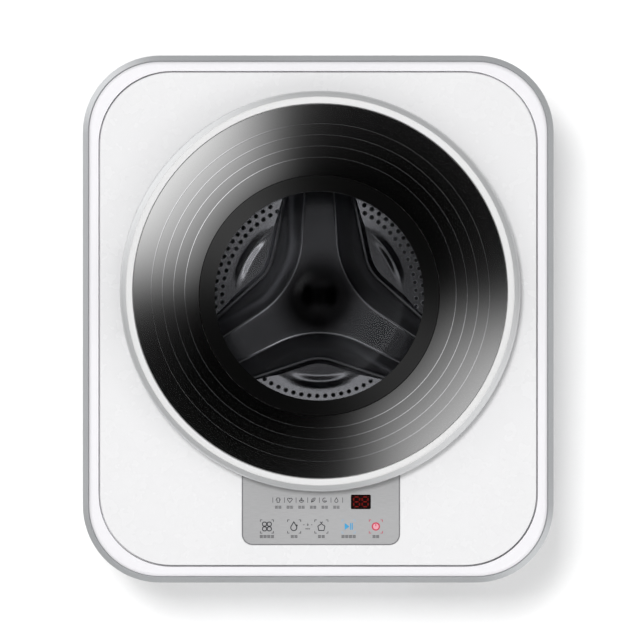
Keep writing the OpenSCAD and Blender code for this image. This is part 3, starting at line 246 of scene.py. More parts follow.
def finish(name, recipe, clear=None, **fixed):
    """A material on the object's own coordinates. The recipe returns what changes over it,
    and clear mixes its shader with a transparent one."""
    material = bpy.data.materials.new(name)
    material.use_nodes = True
    net = Net(material.node_tree)
    at = net.node("ShaderNodeTexCoord", out="Object")
    shade = net.node("ShaderNodeBsdfPrincipled", None, {**fixed, **recipe(net, at)})
    if clear:
        shade = clear(net, at, shade)
    net.node("ShaderNodeOutputMaterial", None, (shade,))
    FINISHES[name] = material
    return material


def scaled(colour, share, lift=0.0):
    """A lighter or darker shade of a colour."""
    return (*(min(1.0, c * share + lift) for c in colour[:3]), 1.0)


def moulded(colour, rough, grain, tint):
    """Moulded plastic: fine spark-eroded grain, slow waves of tint and gloss."""
    def recipe(net, at):
        slow, fine = net.cloud(at, 9.0), net.cloud(at, 2200.0, 1.0)
        return {"Base Color": net.mix(net.ease(slow, 0.3, 0.7), colour,
                                      scaled(colour, 1 - 3 * tint)),
                "Roughness": rough - 0.05 + 0.1 * net.cloud(at, 31.0, 3.0),
                "Normal": net.bump(fine, grain)}
    return recipe


def lacquered(colour, rough=0.24, peel=0.01):
    """Sprayed enamel: the soft orange peel of a baked coat."""
    def recipe(net, at):
        slow = net.ease(net.cloud(at, 5.0), 0.35, 0.65)
        return {"Base Color": net.mix(slow, colour, scaled(colour, 0.985)),
                "Roughness": rough + 0.06 * net.cloud(at, 60.0),
                "Normal": net.bump(net.cloud(at, 420.0, 1.0), peel)}
    return recipe


def rubber(colour):
    """Moulded rubber: matt, with bloom and fine pores."""
    def recipe(net, at):
        bloom = net.ease(net.cloud(at, 26.0, 4.0, 0.65), 0.45, 0.75)
        return {"Base Color": net.mix(bloom, colour, scaled(colour, 1.5, 0.008)),
                "Roughness": 0.62 + 0.18 * bloom,
                "Normal": net.bump(net.cloud(at, 1500.0), 0.03)}
    return recipe


def brushed(colour, along, rough, depth):
    """Sheet metal brushed along the axis with the small factor."""
    def recipe(net, at):
        streak = net.cloud(net.stretched(at, *along), 90.0, 4.0, 0.7)
        share = net.ease(streak * 0.7 + net.cloud(at, 7.0) * 0.3, 0.3, 0.7)
        return {"Base Color": net.mix(share, scaled(colour, 0.82), colour),
                "Roughness": rough - 0.06 + 0.16 * streak,
                "Normal": net.bump(streak, depth)}
    return recipe


def zinc_plated(net, at):
    """Bright zinc: spangles a few millimetres wide and a faint haze."""
    tone, _, _ = net.split(net.cells(at, 210.0, "Color"))
    haze = net.cloud(at, 18.0, 4.0)
    shade = net.mix(tone, rgb(158, 160, 162), rgb(196, 198, 200))
    return {"Base Color": net.mix(net.ease(haze, 0.5, 0.8), shade, rgb(150, 150, 148)),
            "Roughness": 0.3 + 0.12 * tone + 0.1 * haze,
            "Normal": net.bump(net.cloud(at, 900.0), 0.004)}


def turned(colour, centre, rough=0.22):
    """Metal turned on a lathe about an axis that runs out from the wall."""
    def recipe(net, at):
        radius = net.polar(at, centre).radius
        _, y, _ = net.split(at)
        mark = net.math("SINE", (radius + y) * (math.tau / (TURNING_PITCH * MM)))
        wander = net.cloud(net.join(radius, y, 0.0), 1800.0)
        return {"Base Color": net.mix(wander, scaled(colour, 0.8), colour),
                "Roughness": rough + 0.14 * wander,
                "Normal": net.bump(mark * 0.5 + 0.5, 0.003)}
    return recipe


def sand_cast(net, at):
    """Cast light alloy: a rolling skin with fine grains and darker hollows."""
    colour = rgb(150, 152, 154)
    skin = net.cloud(at, 260.0, 5.0, 0.65)
    hollow = net.ease(net.cloud(at, 45.0, 3.0), 0.55, 0.75)
    return {"Base Color": net.mix(hollow, colour, scaled(colour, 0.62)),
            "Roughness": 0.42 + 0.25 * skin,
            "Normal": net.bump(skin, 0.12)}


def laminated(net, at):
    """A stack of thin iron sheets, seen at the edge."""
    _, y, _ = net.split(at)
    sheet = net.math("FRACT", y * (1 / (LAMINATION * MM)))
    joint = net.ease(sheet, 0.0, 0.25)
    rust = net.ease(net.cloud(at, 60.0, 4.0), 0.5, 0.8)
    metal = net.mix(joint, rgb(44, 42, 40), rgb(112, 108, 104))
    return {"Base Color": net.mix(rust * 0.5, metal, rgb(104, 70, 50)),
            "Roughness": 0.5 + 0.2 * rust, "Normal": net.bump(joint, 0.12)}


def circuit_board(net, at):
    """Solder mask over square-cornered tracks and round pads."""
    x, _, z = net.split(at)
    flat = net.join(x, z, 0.0)
    track = net.node("ShaderNodeTexBrick", {"offset": 0.35, "offset_frequency": 3}, {
        "Vector": flat, "Scale": 1.0, "Mortar Size": 0.00035, "Brick Width": 0.011,
        "Row Height": 0.0023, "Mortar Smooth": 0.1}, 1)
    pad = net.cells(flat, 260.0) < 0.22
    mask = net.mix(track, rgb(10, 78, 44), rgb(24, 112, 62))
    return {"Base Color": net.mix(pad, mask, rgb(196, 188, 160)),
            "Roughness": 0.3 + 0.2 * pad, "Metallic": pad * 0.8,
            "Normal": net.bump(track, 0.03)}


def cast_weight(net, at):
    """Cast stone: pale grains, sand and small air holes, the holes painted dark as painted shade
    in the pits.
    """
    tone, _, _ = net.split(net.cells(at, 420.0, "Color"))
    hole = net.ease(net.cells(at, 95.0), 0.08, 0.16)
    body = net.mix(tone, rgb(128, 126, 120), rgb(168, 164, 156))
    # Painted shade: the base colour darkens in the air holes.
    return {"Base Color": net.mix(hole, rgb(74, 72, 70), body),
            "Roughness": 0.82 + 0.1 * tone,
            "Normal": net.bump(hole * 0.7 + net.cloud(at, 700.0, 3.0) * 0.3, 0.5)}


def leaning(net, place, lean, out):
    """Way outward from a centre by lean and from the wall by out, turned into world space."""
    right, up = place.right / place.radius * lean, place.up / place.radius * lean
    return net.node("ShaderNodeVectorTransform",
                    {"vector_type": "VECTOR", "convert_from": "OBJECT", "convert_to": "WORLD"},
                    (net.join(right, -out, up),))


def spun(net, place):
    """Normal of a round face that looks straight out, leaning outward by an even amount as
    spun metal does on average. It draws each light of the studio out into a fan."""
    return net.vector("NORMALIZE", leaning(net, place, SPUN_LEAN, 1.0))


def ring_metal(net, at):
    """Satin silver of the door ring with a normal that leans out. Its inner bevel is painted
    paler and less metallic: a painted highlight of the light its slope catches.
    """
    place = net.polar(at, DOOR)
    brush = net.cloud(net.join(place.radius * 900.0, place.angle * 3.0, 0.0), 3.0, 4.0, 0.7)
    # Painted highlight: inside BEVEL_R the ring turns paler and less metallic.
    inner = net.ease(place.radius, (BEVEL_R + 0.2) * MM, (BEVEL_R - 0.2) * MM)
    silver = net.mix(brush, rgb(201, 202, 203), rgb(214, 215, 216))
    normal = net.vector("ADD", net.node("ShaderNodeNewGeometry", out="Normal"),
                        leaning(net, place, 0.16, 0.0))
    return {"Base Color": net.mix(inner, silver, rgb(230)),
            "Metallic": 0.46 - 0.21 * inner,
            "Roughness": 0.26 + 0.08 * brush,
            "Normal": net.vector("NORMALIZE", normal)}


def satin_black(net, at):
    """Black moulding whose fine turning marks fan the light out as the disc does."""
    grain = net.cloud(at, 1300.0)
    return {"Base Color": net.mix(grain, rgb(5), rgb(9)),
            "Roughness": 0.27 + 0.03 * grain,
            "Normal": spun(net, net.polar(at, DOOR))}


def smoked_disc(net, at):
    """Smoked mirror print under clear resin: black by the window, grey towards the ring."""
    place = net.polar(at, DOOR)
    outward = (place.radius - DISC_BLACK * MM) / ((DISC_GREY - DISC_BLACK) * MM)
    return {"Base Color": net.mix(outward, rgb(68), rgb(192)),
            "Roughness": 0.2 + 0.015 * net.cloud(at, 900.0),
            "Normal": spun(net, place)}


def laid_wire(net, at):
    """Bright wire flush with the disc, so that it takes the light as the disc does."""
    place = net.polar(at, DOOR)
    wander = net.cloud(net.join(place.radius, 0.0, 0.0), 900.0)
    return {"Base Color": net.mix(wander, rgb(206, 206, 208), rgb(220, 220, 222)),
            "Roughness": 0.13 + 0.02 * wander,
            "Normal": spun(net, place)}


def stains(net, at):
    """Water stains of the drum's steel, from 0 to 1."""
    return net.ease(net.cloud(at, 14.0, 4.0, 0.6), 0.45, 0.8)


def drum_metal(net, at):
    """Stainless drum sheet: drawn, lightly stained, brushed round the axis."""
    place = net.polar(at, WASH)
    brush = net.cloud(net.join(place.radius * 500.0, place.angle * 2.0, 0.0), 4.0, 4.0, 0.7)
    stain = stains(net, at)
    steel = net.mix(brush, rgb(150, 151, 154), rgb(186, 187, 190))
    return {"Base Color": net.mix(stain * 0.6, steel, rgb(128, 128, 130)),
            "Roughness": 0.27 + 0.14 * brush + 0.08 * stain,
            "Normal": net.bump(brush, 0.005)}


def back_sheet(net, at):
    """The drum's back: a polished star over drawn, duller hollows. The two lines along each arm
    where the press rounds the sheet, and faintly the flanks, are made less metallic so that they
    show pale: a painted highlight of the rounded edges, weaker towards the hub. The hub is
    painted near black: a painted dark reflection."""
    _, y, _ = net.split(at)
    radius = net.polar(at, WASH).radius
    height = 0.0 - y - DRUM_BACK * MM

    def line(*heights):
        return net.band(height, *(h * MM for h in heights))

    polished = net.ease(height, 5 * MM, 20 * MM)
    rounded = line(5.3, 5.5, 5.75, 5.95) + line(21.1, 21.5, 21.8, 21.93)
    flank = line(5.5, 7.5, 20.0, 21.4)
    # Painted highlight: less metal on the crease lines and flanks lets their pale diffuse colour
    # show, fading towards the hub.
    painted_crease_light = rounded * net.ease(radius, 50 * MM, 105 * MM, 0.25, 1.0) + 0.16 * flank
    stain = stains(net, at)
    steel = net.mix(stain * 0.4, rgb(178, 179, 182), rgb(150, 150, 152))
    # Painted reflection: the base colour turns near black at the hub.
    return {"Base Color": net.mix(net.ease(radius, 24 * MM, 66 * MM), rgb(12), steel),
            "Metallic": 1.0 - 0.22 * painted_crease_light,
            "Roughness": 0.19 - 0.06 * polished + 0.04 * stain}


def glowing(net, at):
    """A lit bar of the display, its glow uneven in small patches."""
    glow = net.cloud(at, 700.0, 1.0)
    return {"Base Color": net.mix(glow, rgb(120, 8, 8), rgb(150, 12, 10)),
            "Emission Color": net.mix(glow, rgb(255, 36, 30), rgb(255, 60, 48)),
            "Roughness": 0.4 + 0.1 * glow}


def dark_lens(net, at):
    """Smoked display window with the finest of hairlines."""
    hair = net.cloud(net.stretched(at, 1.0, 1.0, 30.0), 200.0, 3.0)
    return {"Base Color": net.mix(hair, rgb(16, 3, 4), rgb(24, 5, 6)),
            "Roughness": 0.06 + 0.05 * hair}


def printed(colour):
    """Screen-printed ink with slightly uneven cover."""
    def recipe(net, at):
        cover = net.cloud(at, 1400.0)
        return {"Base Color": net.mix(cover, colour, scaled(colour, 1.15, 0.01)),
                "Roughness": 0.45 + 0.1 * cover}
    return recipe


def bowl_film(net, at):
    """Faint film on the glass bowl, from 0 to 1."""
    return net.cloud(at, 11.0, 4.0, 0.6)


def glass_gloss(net, at):
    """The gloss of the bowl's glass."""
    film = bowl_film(net, at)
    return {"Base Color": net.mix(film, rgb(232, 234, 240), rgb(248, 250, 253)),
            "Roughness": 0.02 + 0.05 * film}


def clear_glass(net, at, gloss):
    """Light passes straight through, but for a small share of gloss by Fresnel."""
    through = net.node("ShaderNodeBsdfTransparent", None, (rgb(249, 249, 250),))
    edge = net.node("ShaderNodeFresnel", None, {"IOR": 1.45})
    share = net.math("MINIMUM", edge * 0.1 + bowl_film(net, at) * 0.003, 0.018)
    return net.node("ShaderNodeMixShader", None, (share, through, gloss))


finish("panel_enamel", lacquered(rgb(220, 220, 221)), **{"Coat Weight": 0.3})
finish("shell_enamel", lacquered(rgb(232, 233, 235), 0.3))
finish("bezel_white", moulded(rgb(224, 223, 226), 0.32, 0.006, 0.004))
finish("fitting_white", moulded(rgb(224, 224, 222), 0.4, 0.02, 0.01))
finish("tub_plastic", moulded(rgb(186, 188, 190), 0.48, 0.03, 0.02))
finish("tub_grey", moulded(rgb(92, 94, 97), 0.48, 0.03, 0.02))
finish("dark_moulding", moulded(rgb(34, 35, 38), 0.38, 0.015, 0.06))
finish("tray_blue", moulded(rgb(58, 116, 186), 0.36, 0.01, 0.03))
finish("edge_silver", brushed(rgb(198, 200, 202), (26.0, 1.0, 26.0), 0.34, 0.002),
       Metallic=0.44)
finish("door_silver", ring_metal)
finish("fascia_silver", brushed(rgb(175, 175, 176), (1.0, 30.0, 30.0), 0.42, 0.001),
       Metallic=0.15)
finish("disc_smoked", smoked_disc, Metallic=1.0)
finish("rim_black", satin_black)
finish("clear_glass_bowl", glass_gloss, clear_glass, Metallic=1.0)
finish("gasket_grey", rubber(rgb(92, 94, 98)))
finish("rubber_black", rubber(rgb(26, 26, 27)))
finish("zinc_sheet", zinc_plated, Metallic=1.0)
finish("drum_sheet", drum_metal, Metallic=1.0)
finish("back_sheet", back_sheet)
finish("cast_light_alloy", sand_cast, Metallic=0.9)
finish("turned_about_drum", turned(rgb(206, 207, 210), WASH), Metallic=1.0)
finish("turned_about_motor", turned(rgb(198, 198, 200), MOTOR), Metallic=1.0)
finish("motor_laminations", laminated, Metallic=0.5)
finish("motor_paint", lacquered(rgb(120, 123, 127), 0.4, 0.02))
finish("board_green", circuit_board)
finish("weight_stone_cast", cast_weight)
finish("digit_red", glowing, **{"Emission Strength": 2.4})
finish("lens_dark", dark_lens, **{"Alpha": 0.72, "Coat Weight": 0.4})
# The line ink prints the programme dividers and also the painted gap shadow round the fascia.
INKS = {"dark": (40, 40, 44), "line": (86, 86, 90), "blue": (54, 144, 190),
        "pale_blue": (132, 170, 196), "red": (184, 36, 70), "pink": (206, 150, 160)}
for name, colour in INKS.items():
    finish("ink_" + name, printed(rgb(*colour)))
finish("mirror_line", laid_wire, Metallic=1.0)
finish("hole_rim", turned(rgb(200, 201, 204), WASH, 0.25), Metallic=0.8)

NODE_FINISH = {
    "rubber_black": "wall_pads tub_isolators shaft_seal drive_belt",
    "zinc_sheet": "back_frame shell_screws door_hinge_bracket gasket_clamps tub_screws "
                  "motor_bracket door_hook",
    "shell_enamel": "outer_shell detergent_lid",
    "edge_silver": "edge_trim",
    "bezel_white": "front_bezel",
    "panel_enamel": "front_panel",
    "fascia_silver": "control_fascia",
    "lens_dark": "display_lens",
    "digit_red": "display_segments",
    "board_green": "control_board",
    "tub_plastic": "board_box inlet_pocket pump_housing drain_pocket power_box drum_lifters",
    "tub_grey": "tub_front tub_rear",
    "turned_about_drum": "door_hinge_pin bearing_outer_races bearing_inner_races "
                         "bearing_balls",
    "turned_about_motor": "motor_rotor",
    "dark_moulding": "door_lock pump_motor pump_impeller drain_filter",
    "gasket_grey": "door_gasket fill_hose dispenser_hose sump_hose drain_hose",
    "weight_stone_cast": "counterweight",
    "motor_paint": "motor_housing",
    "motor_laminations": "motor_stator",
    "drum_sheet": "heater drum_shell drum_back",
    "fitting_white": "pressure_switch inlet_valve detergent_box door_inner_frame",
    "tray_blue": "detergent_tray",
    "door_silver": "door_ring",
    "disc_smoked": "door_disc",
    "rim_black": "window_rim",
    "clear_glass_bowl": "door_glass",
    "cast_light_alloy": "door_hinge_arm drum_spider_shaft drum_pulley",
}
for name, nodes in NODE_FINISH.items():
    for node in nodes.split():
        mesh = NODES[node].data
        mesh.materials.clear()
        mesh.materials.append(FINISHES[name])


# ---- Drawn marks ----

def mounted(name, mesh, body):
    """An object for a mesh, at the origin, riding on a body."""
    piece = bpy.data.objects.new(name, mesh)
    bpy.context.scene.collection.objects.link(piece)
    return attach(piece, body)


def new_piece(name, mesh_maker, body, finish_name):
    """A piece from mesh code."""
    bm = bmesh.new()
    mesh_maker(bm)
    bmesh.ops.recalc_face_normals(bm, faces=bm.faces)
    mesh = bpy.data.meshes.new(name)
    bm.to_mesh(mesh)
    bm.free()
    mesh.materials.append(FINISHES[finish_name])
    return mounted(name, mesh, body)


def front_point(x, z, out):
    """A point x mm right, z mm up and out mm from the wall, in metres."""
    return (x * MM, -out * MM, z * MM)


def slab(bm, outline, low, high):
    """A flat closed outline made a slab between two distances from the wall."""
    rings = [[bm.verts.new(front_point(x, z, out)) for x, z in outline] for out in (low, high)]
    bm.faces.new(rings[0])
    bm.faces.new(rings[1])
    count = len(outline)
    for i in range(count):
        j = (i + 1) % count
        bm.faces.new((rings[0][i], rings[0][j], rings[1][j], rings[1][i]))


def ribbon(bm, points, width, low, high, closed=False):
    """A line of even width along points, as a slab."""
    count = len(points)
    sides = ([], [])
    for i, (x, z) in enumerate(points):
        before = points[i - 1] if i or closed else points[i]
        after = points[(i + 1) % count] if i < count - 1 or closed else points[i]
        ways = [Vector(q) - Vector(p) for p, q in ((before, (x, z)), ((x, z), after))
                if (Vector(q) - Vector(p)).length > 1e-9]
        ways = [w.normalized() for w in ways]
        along = sum(ways, Vector((0, 0))).normalized()
        across = Vector((-along.y, along.x))
        reach = width / 2 / max(0.5, abs(along.dot(ways[0])))
        for side, sign in zip(sides, (1, -1)):
            side.append((x + sign * across.x * reach, z + sign * across.y * reach))
    steps = range(count if closed else count - 1)
    rings = [[[bm.verts.new(front_point(x, z, out)) for x, z in side] for side in sides]
             for out in (low, high)]
    for i in steps:
        j = (i + 1) % count
        (a, b), (c, d) = rings
        bm.faces.new((c[i], c[j], d[j], d[i]))
        bm.faces.new((a[i], b[i], b[j], a[j]))
        bm.faces.new((a[i], a[j], c[j], c[i]))
        bm.faces.new((b[i], d[i], d[j], b[j]))
    if not closed:
        for i in (0, count - 1):
            (a, b), (c, d) = rings
            bm.faces.new((a[i], c[i], d[i], b[i]))


def arc(x, z, radius, start=0.0, end=360.0, steps=24):
    """Points of an arc in the front plane; a full circle leaves out the repeated point."""
    last = steps if abs(end - start) < 360 else steps - 1
    return [(x + radius * math.cos(math.radians(start + (end - start) * i / steps)),
             z + radius * math.sin(math.radians(start + (end - start) * i / steps)))
            for i in range(last + 1)]


def rounded_box(x, z, w, h, r, steps=8):
    corners = ((1, 1, 0), (-1, 1, 90), (-1, -1, 180), (1, -1, 270))
    return [p for sx, sz, a in corners
            for p in arc(x + sx * (w / 2 - r), z + sz * (h / 2 - r), r, a, a + 90, steps)]


def drop(x, z, r):
    """A water drop of radius r with its tip up."""
    return [(x, z + 1.9 * r), *arc(x, z, r, 30, -210, 20)]


def pen(bm, width):
    """A function that draws printed lines, of this width unless told otherwise."""
    def draw(points, closed=False, width=width):
        ribbon(bm, points, width, *PRINT, closed)
    return draw


def programme_marks(bm):
    """Six small generic signs: shirt, heart, basin with a drop, leaf, coil and drop."""
    draw = pen(bm, 0.7)
    x, z = PROGRAMMES, PROGRAMME_Z
    draw([(x[0] - 1.3, z - 2.5), (x[0] - 1.3, z + 0.5), (x[0] - 2.6, z), (x[0] - 1.4, z + 2.4),
          (x[0] + 1.4, z + 2.4), (x[0] + 2.6, z), (x[0] + 1.3, z + 0.5), (x[0] + 1.3, z - 2.5)],
         True)
    draw([(x[1], z - 2.8), *arc(x[1] - 1.3, z + 0.9, 1.4, 215, 20, 8),
          *arc(x[1] + 1.3, z + 0.9, 1.4, 160, -35, 8)], True)
    draw(arc(x[2], z, 2.5, 190, 350, 10), True)
    draw(drop(x[2], z + 1.0, 0.8), True)
    draw([(x[3] - 2.0, z - 2.3), (x[3] - 1.7, z + 0.3), (x[3] + 0.2, z + 2.1),
          (x[3] + 2.3, z + 2.4), (x[3] + 2.0, z + 0.2), (x[3] + 0.4, z - 1.4)], True)
    draw([(x[3] - 2.0, z - 2.3), (x[3] + 0.9, z + 1.0)])
    draw([*arc(x[4], z, 2.4, 70, 330, 14), *arc(x[4] + 0.4, z, 1.2, 330, 160, 8)])
    draw(drop(x[5], z - 0.8, 1.8), True)


def key_marks(bm):
    """Signs of the dark keys: four cells, a drop with a spark, a garment on its hook, and the
    link between the last two."""
    draw = pen(bm, 1.1)
    x, z = KEYS, KEY_Z
    for sx in (-1, 1):
        for sz in (-1, 1):
            draw(rounded_box(x[0] + sx * 2.7, z + sz * 2.7, 4.6, 4.6, 1.8, 4), True)
    draw(drop(x[1] - 0.4, z - 1.3, 3.4), True)
    slab(bm, [(x[1] + 2.9 + dx, z + 1.0 + dz) for dx, dz in
              ((0, 1.6), (-1.3, 0), (0, -1.6), (1.3, 0))], PRINT[0], PRINT[1] + 0.02)
    draw([(x[2], z + 3.2), (x[2] + 4.0, z + 0.3), (x[2] + 2.9, z - 4.5), (x[2] - 2.9, z - 4.5),
          (x[2] - 4.0, z + 0.3)], True, 1.0)
    draw([(x[2] - 1.5, z + 5.4), (x[2], z + 3.9), (x[2] + 1.5, z + 5.4)], width=0.9)
    link = (x[1] + x[2]) / 2
    draw(drop(link, z + 1.8, 0.7), True, 0.5)
    for side in (-1, 1):
        draw([(link + side * 3.6, z + 1.9), (link + side * 5.3, z + 1.9)], width=0.6)


def play_mark(bm):
    """Triangle and two bars."""
    x, z = KEYS[3], KEY_Z
    slab(bm, [(x - 4.4, z - 4.0), (x + 0.9, z), (x - 4.4, z + 4.0)], *PRINT)
    for bar in (2.2, 4.1):
        slab(bm, [(x + bar - 0.6, z - 3.8), (x + bar + 0.6, z - 3.8),
                  (x + bar + 0.6, z + 3.8), (x + bar - 0.6, z + 3.8)], *PRINT)


def power_mark(bm):
    """Closed ring with a short upright bar inside its top."""
    x, z = KEYS[4], KEY_Z
    draw = pen(bm, 1.4)
    draw(arc(x, z, 4.0, steps=32), True)
    draw([(x, z + 0.3), (x, z + 2.7)], width=1.0)


def power_field(bm):
    """Pale field inside the ring of the power sign."""
    slab(bm, arc(KEYS[4], KEY_Z, 3.6, steps=32), PRINT[0], PRINT[1] - 0.03)


def painted_fascia_gap_shadow(bm):
    """Dark line printed just inside the fascia's edge: a painted shadow of the gap round the
    fascia.
    """
    box = rounded_box(*FASCIA, FASCIA_W - 1.5, FASCIA_H - 1.5, FASCIA_R - 0.75)
    ribbon(bm, box, 0.6, *PRINT, closed=True)


for name, marks, ink in (("programme_signs", programme_marks, "ink_dark"),
                         ("key_signs", key_marks, "ink_dark"),
                         ("start_sign", play_mark, "ink_blue"),
                         ("power_sign", power_mark, "ink_red"),
                         ("power_sign_field", power_field, "ink_pink"),
                         ("fascia_painted_gap_shadow", painted_fascia_gap_shadow, "ink_line")):
    new_piece(name, marks, "cabinet", ink)


# ---- Repeated pieces ----

ROUNDING = 0.5                # keeps a whole number clear of the step of FLOOR or of a limit
UPRIGHT = (math.pi / 2, 0, 0)    # turns a flat circle to face out from the wall


class Grown:
    """A Geometry Nodes tree with named size inputs, turned into a plain mesh."""

    def __init__(self, name, finish_name, **sizes):
        self.name, self.finish_name, self.sizes = name, finish_name, sizes
        self.tree = bpy.data.node_groups.new(name + "_rule", "GeometryNodeTree")
        self.tree.is_modifier = True
        for key, value in sizes.items():
            kind = "NodeSocketInt" if isinstance(value, int) else "NodeSocketFloat"
            self.tree.interface.new_socket(key, in_out="INPUT", socket_type=kind)
        self.tree.interface.new_socket("Geometry", in_out="OUTPUT",
                                       socket_type="NodeSocketGeometry")
        self.net = Net(self.tree)
        entry = self.net.node("NodeGroupInput").socket.node
        self.inputs = {key: Value(self.net, entry.outputs[key]) for key in sizes}

    def piece(self, geometry, body, slot):
        """Ends the tree, evaluates it and lets the mesh ride on a body."""
        net = self.net
        real = net.node("GeometryNodeRealizeInstances", None, (geometry,))
        done = net.node("GeometryNodeSetMaterial", None,
                        {"Geometry": real, "Material": FINISHES[self.finish_name]})
        net.node("NodeGroupOutput", None, (done,))
        seed = bpy.data.objects.new(self.name + "_seed", bpy.data.meshes.new("seed"))
        bpy.context.scene.collection.objects.link(seed)
        rule = seed.modifiers.new("rule", "NODES")
        rule.node_group = self.tree
        for item in self.tree.interface.items_tree:
            if item.in_out == "INPUT":
                rule[item.identifier] = self.sizes[item.name]
        bpy.context.view_layer.update()
        graph = bpy.context.evaluated_depsgraph_get()
        mesh = bpy.data.meshes.new_from_object(seed.evaluated_get(graph))
        mesh.name = self.name
        bpy.data.objects.remove(seed)
        mounted(self.name, mesh, body)


def programme_dividers():
    """Thin bars before, between and after the programme marks."""
    grown = Grown("programme_dividers", "ink_line", Count=7, Pitch=PROGRAMME_PITCH * MM,
                  Width=0.7 * MM, Height=6.0 * MM, Ink=INK_DEPTH)
    net, size = grown.net, grown.inputs
    middle = (sum(PROGRAMMES) / len(PROGRAMMES) + 0.5) * MM
    start = middle - (size["Count"] - 1) * size["Pitch"] * 0.5
    points = net.row(size["Count"], net.join(start, INK_Y, PROGRAMME_Z * MM),
                     net.join(size["Pitch"]))
    bar = net.block(size["Width"], size["Ink"], size["Height"])
    grown.piece(net.repeated(points, bar), "cabinet", "silver_fascia")


def blank_labels(name, centres, columns, z, size):
    """Labels without letters: each sign is a block of three short strokes."""
    pitch = centres[1] - centres[0] if len(centres) > 1 else 0.0
    grown = Grown(name, "ink_dark", Columns=columns, Count=len(centres) * columns,
                  Sign=size * MM, Pitch=pitch * MM, Ink=INK_DEPTH)
    net, read = grown.net, grown.inputs
    stroke = net.block(read["Sign"] * 0.84, read["Ink"], read["Sign"] * 0.16)
    column = net.row(3, net.join(0.0, 0.0, read["Sign"] * -0.3),
                     net.join(0.0, 0.0, read["Sign"] * 0.3))
    index = net.node("GeometryNodeInputIndex")
    label = net.math("FLOOR", (index + ROUNDING) / read["Columns"])
    place = index - label * read["Columns"] - (read["Columns"] - 1) * 0.5
    x = label * read["Pitch"] + place * read["Sign"] + centres[0] * MM
    points = net.node("GeometryNodeSetPosition", None, {
        "Geometry": net.row(read["Count"]), "Position": net.join(x, INK_Y, z * MM)})
    grown.piece(net.repeated(points, net.repeated(column, stroke)), "cabinet", "silver_fascia")


def key_corners(name, finish_name, first, count):
    """Four corner ticks round each of a run of touch keys."""
    grown = Grown(name, finish_name, Keys=count, Pitch=KEY_PITCH * MM, Reach=7.5 * MM,
                  Tick=2.6 * MM, Line=0.65 * MM, Ink=INK_DEPTH)
    net, size = grown.net, grown.inputs
    inset = (size["Tick"] - size["Line"]) * 0.5
    flat = net.block(size["Tick"], size["Ink"], size["Line"])
    upright = net.moved(net.block(size["Line"], size["Ink"], size["Tick"]),
                        net.join(inset, 0.0, 0.0 - inset))
    corner = net.moved(net.joined(flat, upright),
                       net.join(size["Reach"] - inset, 0.0, size["Reach"]))
    turn = net.join(0.0, net.node("GeometryNodeInputIndex") * (math.tau / 4), 0.0)
    keys = net.row(size["Keys"], net.join(KEYS[first] * MM, INK_Y, KEY_Z * MM),
                   net.join(size["Pitch"]))
    grown.piece(net.repeated(keys, net.repeated(net.row(4), corner, turn)),
                "cabinet", "silver_fascia")


def inlay_lines():
    """Four bright wires laid into the grooves of the disc."""
    grown = Grown("disc_inlay_lines", "mirror_line", Wire=0.38 * MM,
                  **{key: radius * MM for key, radius in GROOVE_RADII.items()})
    net, size = grown.net, grown.inputs
    wire = net.circle(size["Wire"], 8)
    rings = []
    for key in GROOVE_RADII:
        out = DISC_FACE * MM + (size[key] - DISC_R * MM) * DISC_SLOPE
        rings.append(net.moved(net.rod(net.circle(size[key], 256), wire),
                               net.join(GROOVES[0] * MM, 0.0 - out, GROOVES[1] * MM), UPRIGHT))
    smooth = net.node("GeometryNodeSetShadeSmooth", None, (net.joined(*rings),))
    grown.piece(smooth, "door", "silver_trim")


def hole_rims():
    """Rolled rims round the small holes in the drum's back."""
    grown = Grown("back_hole_rims", "hole_rim", Holes=6 * ROW_HOLES,
                  Inner_row=HOLE_ROWS[0] * MM, Outer_row=HOLE_ROWS[1] * MM,
                  Step=math.radians(HOLE_STEP), Hole=(HOLE_R + 0.25) * MM, Roll=0.45 * MM)
    net, size = grown.net, grown.inputs
    index = net.node("GeometryNodeInputIndex")
    hollow = net.math("FLOOR", (index + ROUNDING) / (2.0 * ROW_HOLES))
    in_hollow = index - hollow * (2.0 * ROW_HOLES)
    row = in_hollow > ROW_HOLES - ROUNDING
    place = in_hollow - row * ROW_HOLES - (ROW_HOLES - 1) / 2
    angle = hollow * (math.tau / 3) + math.radians(30) \
        + (place + (row - 0.5) * 0.5) * size["Step"]
    radius = size["Inner_row"] + row * (size["Outer_row"] - size["Inner_row"])
    points = net.node("GeometryNodeSetPosition", None, {
        "Geometry": net.row(size["Holes"]), "Position": net.join(
            net.math("COSINE", angle) * radius + WASH[0] * MM,
            (DISH_FROM * MM - radius) * DISH_SLOPE - (DRUM_BACK + DRUM_SHEET) * MM,
            net.math("SINE", angle) * radius + WASH[1] * MM)})
    rim = net.moved(net.rod(net.circle(size["Hole"], 20), net.circle(size["Roll"], 8)),
                    None, UPRIGHT)
    smooth = net.node("GeometryNodeSetShadeSmooth", None, (rim,))
    grown.piece(net.repeated(points, smooth), "drum", "drum_steel")


programme_dividers()
blank_labels("programme_labels", PROGRAMMES, 2, PROGRAMME_Z - 8.0, 3.9)
blank_labels("long_key_labels", [KEYS[0], KEYS[3]], 4, KEY_LABEL_Z, 4.2)
blank_labels("short_key_labels", KEYS[1:3], 2, KEY_LABEL_Z, 4.1)
blank_labels("power_key_label", [KEYS[4]], 2, KEY_LABEL_Z, 4.1)
blank_labels("link_label", [(KEYS[1] + KEYS[2]) / 2], 3, KEY_Z - 2.6, 1.8)
key_corners("dark_key_corners", "ink_dark", 0, 3)
key_corners("start_key_corners", "ink_pale_blue", 3, 1)
key_corners("power_key_corners", "ink_red", 4, 1)
inlay_lines()
hole_rims()


# ---- Pressed back of the drum ----

